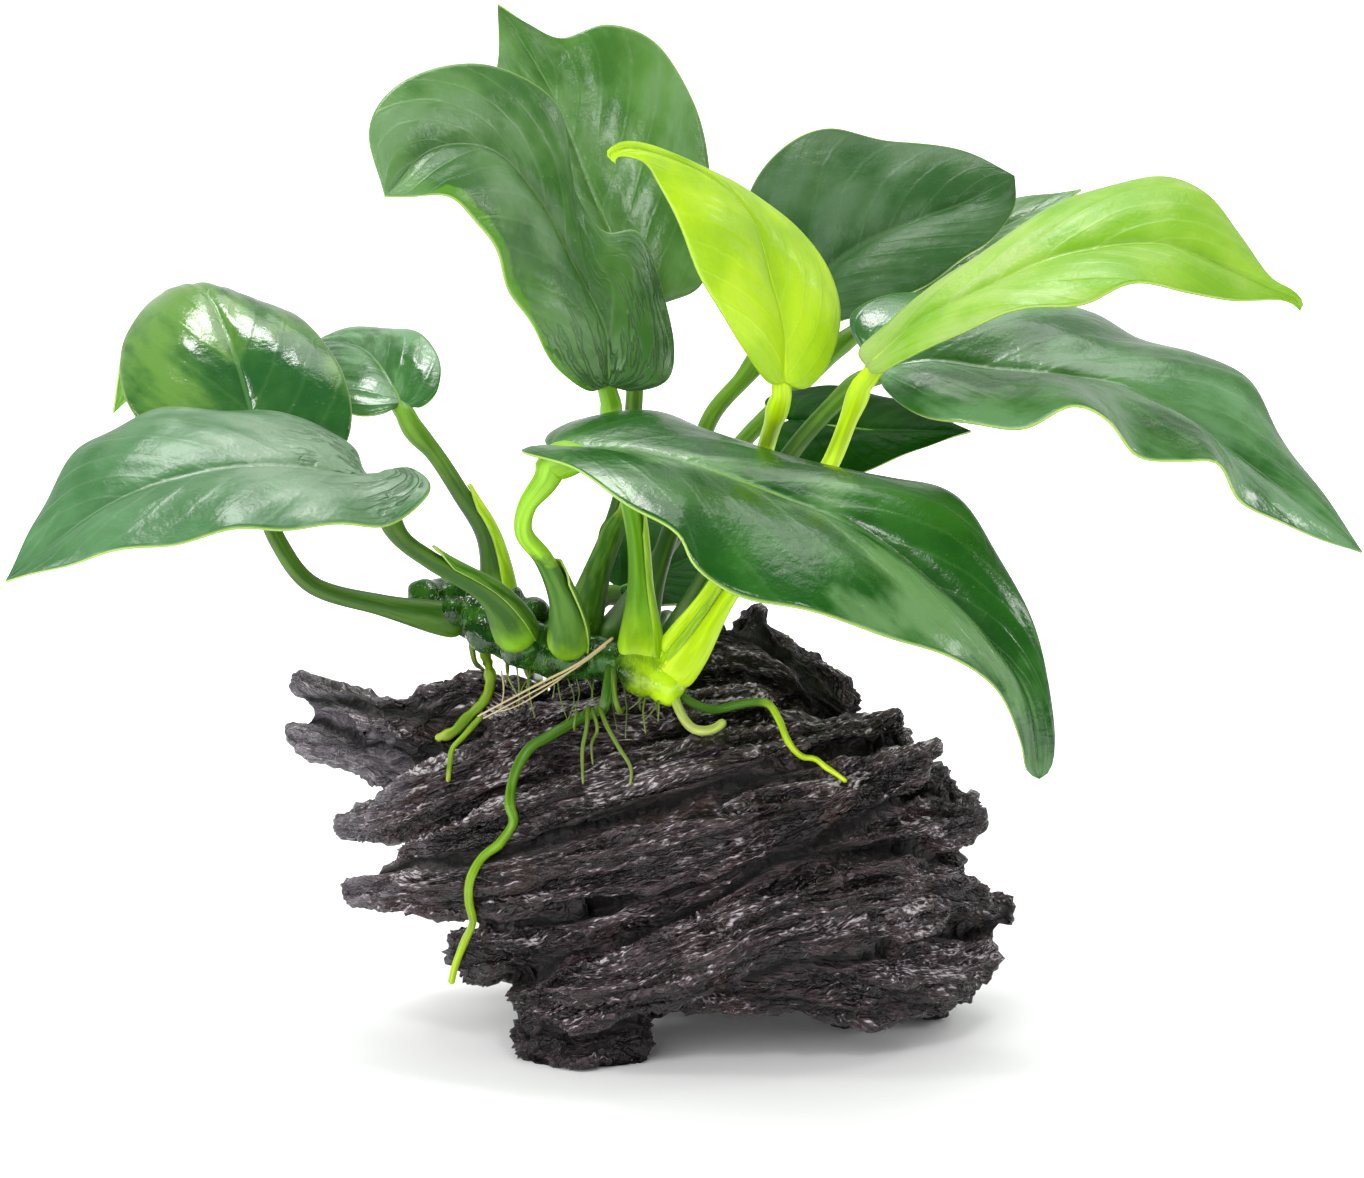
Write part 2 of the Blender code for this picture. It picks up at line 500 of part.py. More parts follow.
def wood_mass(name, strands, parent, triangles, first_seed):
    """The strands grown into one mass, with few enough faces, and its foot cut flat."""
    bm = bmesh.new()
    for number, strand in enumerate(strands):
        line = sample(smooth_line([place(point) for point, _ in strand]), shares(STRAND_RINGS))
        radii = [radius * MM for _, radius in strand]
        section = grain_section(first_seed + number * SEED_STEP, FEWEST_FLUTES + number % FLUTE_CHOICES)
        add_tube(bm, line, lambda share: between(radii, share), STRAND_SIDES, section)
    obj = object_from(name, bm, "wood", parent)
    fuse = obj.modifiers.new("Fuse", "REMESH")
    fuse.mode = "VOXEL"
    fuse.voxel_size = WOOD_VOXEL * MM
    baked(obj)
    thin = obj.modifiers.new("Fewer faces", "DECIMATE")
    thin.ratio = min(1, triangles / (2 * len(obj.data.polygons)))
    baked(obj)
    return obj


def floor_cutter(parent):
    """A block whose top is the surface that the wood stands on."""
    bm = bmesh.new()
    low = Matrix.Translation((0, 0, -FLOOR_CUTTER_DEPTH * MM / 2))
    size = Matrix.Diagonal((FLOOR_CUTTER_SIDE * MM, FLOOR_CUTTER_SIDE * MM, FLOOR_CUTTER_DEPTH * MM, 1))
    bmesh.ops.create_cube(bm, size=1, matrix=low @ size)
    return hide_as_cutter(object_from("floor_cutter", bm, "wood", parent))


def surface_of(objects):
    """One search tree over the objects' faces, to lay roots on."""
    vertices, faces = [], []
    for obj in objects:
        start = len(vertices)
        vertices += [v.co.copy() for v in obj.data.vertices]
        faces += [[start + i for i in polygon.vertices] for polygon in obj.data.polygons]
    return BVHTree.FromPolygons(vertices, faces)


def laid(stop, side, tree):
    """Where the wood lies at this place as seen from its side, or just below, past the wood's upper edge."""
    across, up = stop
    hit = None
    while hit is None:
        hit = tree.ray_cast(place((across, FAR_OFF * side, up)), Vector((0, -side, 0)))[0]
        up -= GAP
    return hit


def lifted(point, tree, stand_off, outward):
    """The point, moved out towards its side until it stands clear of the wood."""
    for _ in range(ROOT_MOST_LIFTS):
        hit, normal, _, distance = tree.find_nearest(point)
        if (point - hit).dot(normal) > 0 and distance >= stand_off:
            break
        point = point + outward * ROOT_LIFT * MM
    return point


def root_line(spec, tree):
    """The root's centre line, laid on the wood and kept clear of it all the way."""
    outward = Vector((0, spec["side"], 0))
    stand_off = (spec["radius"] + CLEARANCE + GAP) * MM
    points = []
    for stop in spec["route"]:
        if len(stop) == 3:
            points.append(place(stop))
        else:
            points.append(laid(stop, spec["side"], tree) + outward * stand_off)
    line = sample(smooth_line(points), shares(len(points) * ROOT_RINGS_PER_STOP))
    for _ in range(ROOT_SETTLING_STEPS):
        line = [lifted(point, tree, stand_off, outward) for point in line]
        for before, point, after in zip(line, line[1:], line[2:]):
            point.y = (before.y + 2 * point.y + after.y) / 4
    return [lifted(point, tree, stand_off, outward) for point in line]


def root(name, spec, tree, parent):
    bm = bmesh.new()

    def radius(share):
        return (spec["radius"] + (spec["tip"] - spec["radius"]) * share**2) * MM

    add_tube(bm, root_line(spec, tree), radius, ROOT_SIDES)
    return object_from(name, bm, "root", parent)


def stalk(name, points, finish, parent):
    line = sample(smooth_line([place(p) for p in points]), shares(STALK_RINGS))
    bm = bmesh.new()

    def radius(share):
        return (STALK_RADIUS + (STALK_BASE_RADIUS - STALK_RADIUS) * share**4) * MM

    add_tube(bm, line, radius, STALK_SIDES)
    return object_from(name, bm, finish, parent)


def rhizome(parent):
    line = sample(smooth_line([place(p) for p in RHIZOME]), shares(RHIZOME_RINGS))
    bm = bmesh.new()

    def radius(share):
        return between(RHIZOME_RADII, share) * MM * (1 + KNOB_DEPTH * math.sin(share * KNOB_RATE))

    add_tube(bm, line, radius, RHIZOME_SIDES)
    return object_from("rhizome", bm, "rhizome", parent)


def build():
    clear_scene()
    plant = bpy.data.objects.new("anubias_on_driftwood", None)
    bpy.context.scene.collection.objects.link(plant)

    floor = floor_cutter(plant)
    body = wood_mass("driftwood_body", BODY_STRANDS, plant, BODY_TRIANGLES, 1.0)
    cut_away(body, floor)
    baked(body)
    body_room = swollen(body, "driftwood_body_clearance")
    fork = wood_mass("driftwood_left_fork", FORK_STRANDS, plant, FORK_TRIANGLES, 31.0)
    foot = wood_mass("driftwood_front_foot", FOOT_STRANDS, plant, FOOT_TRIANGLES, 47.0)
    cut_away(foot, floor)
    for obj in (fork, foot):
        cut_away(obj, body_room)
        baked(obj)
    fork_room = swollen(fork, "driftwood_left_fork_clearance")

    stem = rhizome(plant)
    for room in (body_room, fork_room):
        cut_away(stem, room)
    baked(stem)
    stem_room = swollen(stem, "rhizome_clearance")

    for leaf_name, leaf in LEAVES.items():
        age = "young" if leaf_name in YOUNG_LEAVES else "dark"
        blade("leaf_" + leaf_name + "_blade", leaf, age + "_leaf", plant)
        leaf_room = blade("leaf_" + leaf_name + "_clearance", leaf, age + "_leaf", plant, CLEARANCE)
        baked(hide_as_cutter(leaf_room))
        carrier = stalk("leaf_" + leaf_name + "_stalk", leaf["stalk"], age + "_stalk", plant)
        cut_away(carrier, leaf_room)
        cut_away(carrier, stem_room)

    wood = surface_of((body, fork, foot))
    for root_name, spec in ROOTS.items():
        runner = root(root_name, spec, wood, plant)
        for room in (stem_room, body_room, fork_room):
            cut_away(runner, room)


build()
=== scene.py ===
# %% [markdown]
# # Anubias on driftwood
# A small water plant grows on a dark, wet piece of driftwood. Its creeping stem lies on the wood, thick
# green roots hold it there, and thirteen glossy leaves stand up from it on stalks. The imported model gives
# the plain solids. This lesson makes the real surfaces around them, inside the same box. They follow the
# photograph where it shows more than the solids do, so some roots lie a few millimetres off, and those in
# front are thinner.

# %% Load the frame
import json
import math

import bpy
import numpy as np
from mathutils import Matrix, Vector, noise
from mathutils.bvhtree import BVHTree

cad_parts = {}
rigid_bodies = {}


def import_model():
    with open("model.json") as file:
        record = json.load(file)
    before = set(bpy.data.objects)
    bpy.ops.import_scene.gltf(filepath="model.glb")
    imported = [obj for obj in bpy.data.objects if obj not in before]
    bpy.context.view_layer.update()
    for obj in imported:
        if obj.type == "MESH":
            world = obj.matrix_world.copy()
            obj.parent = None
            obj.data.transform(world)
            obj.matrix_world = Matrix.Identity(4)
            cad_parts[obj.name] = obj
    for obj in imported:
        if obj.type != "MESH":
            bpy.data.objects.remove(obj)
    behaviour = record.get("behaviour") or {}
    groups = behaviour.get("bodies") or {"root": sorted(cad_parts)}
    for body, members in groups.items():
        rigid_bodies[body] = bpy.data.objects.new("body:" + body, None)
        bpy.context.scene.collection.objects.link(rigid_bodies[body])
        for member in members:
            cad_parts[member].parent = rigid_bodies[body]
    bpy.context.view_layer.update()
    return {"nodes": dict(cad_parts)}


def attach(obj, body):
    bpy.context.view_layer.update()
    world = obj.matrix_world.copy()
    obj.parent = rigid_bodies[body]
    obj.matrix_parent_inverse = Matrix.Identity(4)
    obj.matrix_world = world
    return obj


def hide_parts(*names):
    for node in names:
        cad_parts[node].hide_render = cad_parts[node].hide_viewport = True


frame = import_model()
MM = 0.001
print("the packed model has", len(frame["nodes"]), "nodes")

# %% [markdown]
# ## Camera
# Lengths in this file are in millimetres as the plant was measured, about the middle of the photograph.
# CENTRE is the same shift as in the solids: it brings the origin under the middle of the object.

# %% Place the camera
CENTRE = np.array((1.5, 2.25, 0.0))
PHOTO_WIDTH = 1364
FOCAL_PIXELS = 4769
SENSOR_WIDTH = 36
VIEW_ELEVATION = math.radians(12)
VIEW_DISTANCE = 0.62
VIEW_HEIGHT = 59.2


def metres(points):
    return (np.asarray(points, float) - CENTRE) * MM


target = Vector(metres((0, 0, VIEW_HEIGHT)))
camera_data = bpy.data.cameras.new("photo_camera")
camera_data.sensor_width = SENSOR_WIDTH
camera_data.lens = FOCAL_PIXELS / PHOTO_WIDTH * SENSOR_WIDTH
camera = bpy.data.objects.new("photo_camera", camera_data)
bpy.context.scene.collection.objects.link(camera)
camera.location = target + VIEW_DISTANCE * Vector((0, -math.cos(VIEW_ELEVATION), math.sin(VIEW_ELEVATION)))
camera.rotation_euler = (math.pi / 2 - VIEW_ELEVATION, 0, 0)
bpy.context.scene.camera = camera
print("lens", round(camera_data.lens, 1), "mm at", VIEW_DISTANCE, "m")

# %% [markdown]
# ## Material maths
# A material is a network of nodes. Written out one by one, even a sum takes three lines. This class wraps a
# socket, so that sums and products of patterns read as they do on paper.

# %% Wrap the shader sockets


class Pattern:
    """A socket's output, which adds the node it needs when it is used in a sum."""

    def __init__(self, finish, socket):
        self.finish = finish
        self.socket = socket

    def maths(self, operation, other, other_first=False):
        values = {0: other, 1: self} if other_first else {0: self, 1: other}
        return self.finish.node("ShaderNodeMath", {"operation": operation}, values)

    def __add__(self, other):
        return self.maths("ADD", other)

    def __sub__(self, other):
        return self.maths("SUBTRACT", other)

    def __rsub__(self, other):
        return self.maths("SUBTRACT", other, other_first=True)

    def __mul__(self, other):
        return self.maths("MULTIPLY", other)

    def __truediv__(self, other):
        return self.maths("DIVIDE", other)

    def __pow__(self, other):
        return self.maths("POWER", other)

    def __abs__(self):
        return self.maths("ABSOLUTE", 0)

    __radd__ = __add__
    __rmul__ = __mul__


class Nodes:
    """The few node recipes that this object needs, in the tree of a material or a world."""

    def node(self, kind, settings=None, inputs=None, output=0):
        made = self.tree.nodes.new(kind)
        for key, value in (settings or {}).items():
            if key == "stops":
                self.set_stops(made.color_ramp, value)
            else:
                setattr(made, key, value)
        for key, value in (inputs or {}).items():
            self.feed(made.inputs[key], value)
        return Pattern(self, made.outputs[output])

    def set_stops(self, ramp, stops):
        while len(ramp.elements) < len(stops):
            ramp.elements.new(1)
        for element, (place, colour) in zip(ramp.elements, stops):
            element.position = place
            element.color = colour

    def feed(self, socket, value):
        if isinstance(value, Pattern):
            self.tree.links.new(value.socket, socket)
        else:
            socket.default_value = value

    def mix(self, share, first, second):
        inputs = {0: share, 6: first, 7: second}
        return self.node("ShaderNodeMix", {"data_type": "RGBA"}, inputs, output=2)

    def layered(self, colour, *layers):
        """A colour with others laid over it, each by its own share."""
        for share, tint in layers:
            colour = self.mix(share, colour, tint)
        return colour

    def step(self, value, low, high):
        """0 below low, 1 above high, and a smooth rise between."""
        inputs = {"Value": value, "From Min": low, "From Max": high}
        return self.node("ShaderNodeMapRange", {"interpolation_type": "SMOOTHSTEP"}, inputs)

    def place(self, stretch=(1, 1, 1)):
        """The place on the object in millimetres, stretched."""
        where = self.node("ShaderNodeTexCoord", output="Object")
        return self.scaled(where, [s / MM for s in stretch])

    def scaled(self, vector, factors):
        inputs = {0: vector, 1: tuple(factors)}
        return self.node("ShaderNodeVectorMath", {"operation": "MULTIPLY"}, inputs)

    def noise(self, vector, scale, detail=2, roughness=0.5, distortion=0.0):
        inputs = {"Vector": vector, "Scale": scale, "Detail": detail, "Roughness": roughness,
                  "Distortion": distortion}
        return self.node("ShaderNodeTexNoise", None, inputs)

    def crests(self, pattern, width):
        """Thin lines where a noise crosses its middle."""
        return 1 - self.step(abs(pattern - 0.5), 0.0, width)

    def bump(self, height, distance, strength=1.0):
        inputs = {"Height": height, "Distance": distance * MM, "Strength": strength}
        return self.node("ShaderNodeBump", None, inputs)

    def parts(self, vector):
        first = self.node("ShaderNodeSeparateXYZ", None, {0: vector})
        return [Pattern(self, socket) for socket in first.socket.node.outputs]

    def uv(self):
        return self.parts(self.node("ShaderNodeTexCoord", output="UV"))[:2]


class Finish(Nodes):
    """A material with one Principled shader."""

    def __init__(self, name, **uniform):
        self.material = bpy.data.materials.new(name)
        self.material.use_nodes = True
        self.tree = self.material.node_tree
        self.shader = self.tree.nodes["Principled BSDF"]
        self.paint(**uniform)

    def paint(self, **looks):
        for name, value in looks.items():
            self.feed(self.shader.inputs[name.replace("_", " ").title().replace("Ior", "IOR")], value)


print("patterns can now be added and multiplied")

# %% [markdown]
# ## Light
# A product like this stands before a white backdrop that curves up behind it. The leaves mirror it at a
# shallow angle, so those that lie flat look pale, and those that face the camera stay deep green. Large
# soft lights fill the shadows, and small bright ones put glints on wet surfaces. The overhead light and the
# front fill aren't mirrored, as if they stood behind cloth. The top card is large too, and the leaves do
# mirror it. The floor fades to white away from the object.

# %% Light the scene
TENT_LIGHT = 0.8
MIRRORED_ROOM = 0.07
MIRRORED_BACKDROP = 0.75
BACKDROP_RISE = (-0.1, 0.6)
BACKDROP_FADE = (0.3, 1.0)
BACKDROP_FADED = 0.85
FLOOR_SIZE = 12
FLOOR_GLOW = (70, 400)
LIGHTS = {
    "overhead": {"at": (-90, 190, 470), "size": 340, "power": 1.0, "mirrored": False},
    "top_card": {"at": (40, 180, 500), "size": 300, "power": 0.75, "mirrored": True},
    "front_fill": {"at": (-200, -460, 260), "size": 320, "power": 1.2, "mirrored": False},
    "top_strip": {"at": (-60, 120, 520), "size": 110, "power": 0.7, "mirrored": True},
    "left_spark": {"at": (-420, -120, 330), "size": 70, "power": 0.5, "mirrored": True},
    "left_low": {"at": (-430, -400, 170), "size": 130, "power": 0.5, "mirrored": True},
    "front_spark": {"at": (60, -420, 430), "size": 60, "power": 0.6, "mirrored": True},
    "right_spark": {"at": (430, 60, 300), "size": 60, "power": 0.25, "mirrored": True},
}


class Surroundings(Nodes):
    """The world's light by direction."""

    def __init__(self, name):
        self.world = bpy.data.worlds.new(name)
        self.world.use_nodes = True
        self.tree = self.world.node_tree


bpy.context.scene.view_settings.view_transform = "Standard"
tent = Surroundings("white_tent")
bpy.context.scene.world = tent.world
_, to_back, to_top = tent.parts(tent.node("ShaderNodeTexCoord", output="Generated"))
backdrop = tent.step(to_back, *BACKDROP_RISE) * (1 - tent.step(to_top, *BACKDROP_FADE) * BACKDROP_FADED)
backdrop = backdrop * MIRRORED_BACKDROP
seen = tent.node("ShaderNodeLightPath", output="Is Camera Ray")
mirrored = tent.node("ShaderNodeLightPath", output="Is Glossy Ray")
tent_light = (backdrop + MIRRORED_ROOM) * mirrored + (1 - mirrored) * TENT_LIGHT
background = tent.tree.nodes["Background"].inputs
tent.feed(background["Strength"], tent_light.maths("MAXIMUM", seen))
tent.feed(background["Color"], (1, 1, 1, 1))
for light_name, light in LIGHTS.items():
    lamp_data = bpy.data.lights.new(light_name, "AREA")
    lamp_data.size = light["size"] * MM
    lamp_data.energy = light["power"]
    lamp = bpy.data.objects.new(light_name, lamp_data)
    bpy.context.scene.collection.objects.link(lamp)
    lamp.visible_glossy = light["mirrored"]
    lamp.location = metres(light["at"])
    lamp.rotation_euler = (target - lamp.location).to_track_quat("-Z", "Y").to_euler()
print("lit by the tent and", len(LIGHTS), "lights")

# %% Lay the floor
floor_finish = Finish("white_floor", roughness=0.9, base_color=(0.93, 0.93, 0.93, 1), emission_strength=1.0)
floor_place = floor_finish.place()
floor_radius = floor_finish.node("ShaderNodeVectorMath", {"operation": "LENGTH"}, {0: floor_place}, output=1)
floor_glow = floor_finish.step(floor_radius, *FLOOR_GLOW)
floor_finish.paint(emission_color=floor_finish.mix(floor_glow, (0, 0, 0, 1), (1, 1, 1, 1)))
bpy.ops.object.select_all(action="DESELECT")
bpy.ops.mesh.primitive_plane_add(size=FLOOR_SIZE)
floor = bpy.context.object
floor.name = "floor"
floor.data.materials.append(floor_finish.material)
print("the floor is", FLOOR_SIZE, "m wide")

# %% [markdown]
# ## Lines through points
# Leaves, stalks and roots all follow a given line. smooth_line rounds it, at gives points along it, and
# frames gives two directions across it, which a tube needs. They work on whole arrays, so fine meshes stay
# quick.

# %% Curve helpers


def smooth_line(points, steps=16):
    """A smooth curve through the points, which slows down where they are close together."""
    points = np.asarray(points, float)
    chords = np.diff(points, axis=0)
    gaps = np.sqrt(np.maximum(np.linalg.norm(chords, axis=1), 1e-9))[:, None]
    chords = chords / gaps
    slopes = np.empty_like(points)
    slopes[0] = chords[0]
    slopes[-1] = chords[-1]
    slopes[1:-1] = (chords[:-1] * gaps[1:] + chords[1:] * gaps[:-1]) / (gaps[:-1] + gaps[1:])
    s = np.linspace(0, 1, steps, endpoint=False)[None, :, None]
    gaps = gaps[:, None]
    line = (2 * s**3 - 3 * s**2 + 1) * points[:-1, None] + (s**3 - 2 * s**2 + s) * gaps * slopes[:-1, None]
    line = line + (3 * s**2 - 2 * s**3) * points[1:, None] + (s**3 - s**2) * gaps * slopes[1:, None]
    return np.vstack((line.reshape(-1, points.shape[1]), points[-1:]))


def lengths_along(line):
    return np.concatenate(([0], np.cumsum(np.linalg.norm(np.diff(line, axis=0), axis=1))))


def sampled(spots, grid, *tables):
    """Each table's rows at these spots of the grid."""
    return [np.stack([np.interp(spots, grid, column) for column in table.T], axis=-1) for table in tables]


def at(line, shares):
    """The points at these shares of the line's length."""
    along = lengths_along(line)
    return sampled(np.asarray(shares) * along[-1], along, line)[0]


def between(values, shares):
    """The values at these shares of a list of evenly spaced values."""
    return np.interp(shares, np.linspace(0, 1, len(values)), values)


def unit(vectors):
    return vectors / np.maximum(np.linalg.norm(vectors, axis=-1, keepdims=True), 1e-12)


def frames(line):
    """Two unit vectors across the line at each point, which turn with it and don't twist."""
    heading = unit(np.gradient(line, axis=0))
    side = np.eye(3)[np.argmin(np.abs(heading[0]))]
    across = np.empty_like(heading)
    for i, direction in enumerate(heading):
        side = unit(side - direction * side.dot(direction))
        across[i] = side
    return across, np.cross(heading, across)


def round_about(centres, across, up, angle, size):
    """Points at these angles and distances round their centres."""
    return centres + (across * np.cos(angle)[:, None] + up * np.sin(angle)[:, None]) * size[:, None]


def smooth_noise(points):
    """Blender's noise at each row of points, from about -1 to 1."""
    return np.array([noise.noise(Vector(point)) for point in np.asarray(points, float)])


print("curve helpers are ready")

# %% [markdown]
# ## Sheets and tubes
# A leaf is a sheet, and so is a stalk: roll a sheet up and its edges meet. Both start as Blender's grid,
# whose points a formula then puts in place. The grid brings its UV map along, so colours can follow the
# surface.

# %% Work on one piece


def deselect_all():
    bpy.ops.object.select_all(action="DESELECT")


def activate(piece):
    deselect_all()
    piece.select_set(True)
    bpy.context.view_layer.objects.active = piece


def apply_modifier(piece, kind, **settings):
    activate(piece)
    added = piece.modifiers.new(kind.title(), kind)
    for key, value in settings.items():
        setattr(added, key, value)
    bpy.ops.object.modifier_apply(modifier=added.name)


def edit_all(piece, operator, **settings):
    """Runs an edit mode operator on the whole piece."""
    activate(piece)
    bpy.ops.object.mode_set(mode="EDIT")
    bpy.ops.mesh.select_all(action="SELECT")
    operator(**settings)
    bpy.ops.object.mode_set(mode="OBJECT")


def empty_slots(piece, count):
    """Material slots for Solidify to spread over the two sides and the rim. They are filled at the end."""
    for _ in range(count):
        piece.data.materials.append(None)


def joined(name, pieces):
    """One piece from several."""
    activate(pieces[0])
    for piece in pieces:
        piece.select_set(True)
    bpy.ops.object.join()
    pieces[0].name = name
    return pieces[0]


print("a piece can be edited, joined and given its slots")

# %% Make sheets and tubes
MERGE_WITHIN = 0.002
POLE_SNAP = 1e-4
TUBE_ROW_LENGTH = 0.5
FEWEST_TUBE_ROWS = 12
EVEN_ROWS = 0.4


def sheet(name, rows, columns, surface, closed=True):
    """A grid that surface(u, v) places, in millimetres. u runs across it and v along it, from 0 to 1."""
    deselect_all()
    bpy.ops.mesh.primitive_grid_add(x_subdivisions=columns, y_subdivisions=rows, size=2, calc_uvs=True)
    piece = bpy.context.object
    piece.name = name
    flat = np.empty(len(piece.data.vertices) * 3)
    piece.data.vertices.foreach_get("co", flat)
    u, v = (flat.reshape(-1, 3)[:, :2].T + 1) / 2
    piece.data.vertices.foreach_set("co", metres(surface(u, v)).ravel())
    edit_all(piece, bpy.ops.mesh.remove_doubles, threshold=MERGE_WITHIN * MM)
    if closed:
        edit_all(piece, bpy.ops.mesh.normals_make_consistent, inside=False)
    bpy.ops.object.shade_smooth()
    return piece


def tube(name, line, radius, sides=16, rows=None, cap=1.0, section=None):
    """A closed tube along a line in millimetres. radius(share) and section(share, angle) shape it."""
    line = np.asarray(line, float)
    length = lengths_along(line)[-1]
    across, up = frames(line)
    rows = rows or int(max(FEWEST_TUBE_ROWS, length / TUBE_ROW_LENGTH))

    def surface(u, v):
        share = EVEN_ROWS * v + (1 - EVEN_ROWS) * (0.5 - 0.5 * np.cos(np.pi * v))
        angle = 2 * np.pi * u
        size = radius(share)
        near_end = np.clip(np.minimum(share, 1 - share) * length / (cap * np.maximum(size, 0.05)), 0, 1)
        near_end[near_end < POLE_SNAP] = 0
        size = size * np.sqrt(1 - (1 - near_end) ** 2)
        if section is not None:
            size = size * section(share, angle)
        grid = np.linspace(0, 1, len(line))
        place = lengths_along(line) / length
        spot = np.interp(share, place, grid)
        return round_about(*sampled(spot, grid, line, across, up), angle, size)

    return sheet(name, rows, sides, surface)


print("a tube or a sheet starts as a grid")

# %% [markdown]
# ## The leaves' guide lines
# Each leaf hangs on three lines: its midrib and its two margins, from the notch where the stalk joins to
# the tip. They are the lines of the solids, with more points on the front leaf and the two young ones, and
# four stalks that were led a little differently. The margins share the midrib's first and last point, so
# those aren't written again. Waves says how high and how often the margin waves, and how much the surface
# wrinkles.

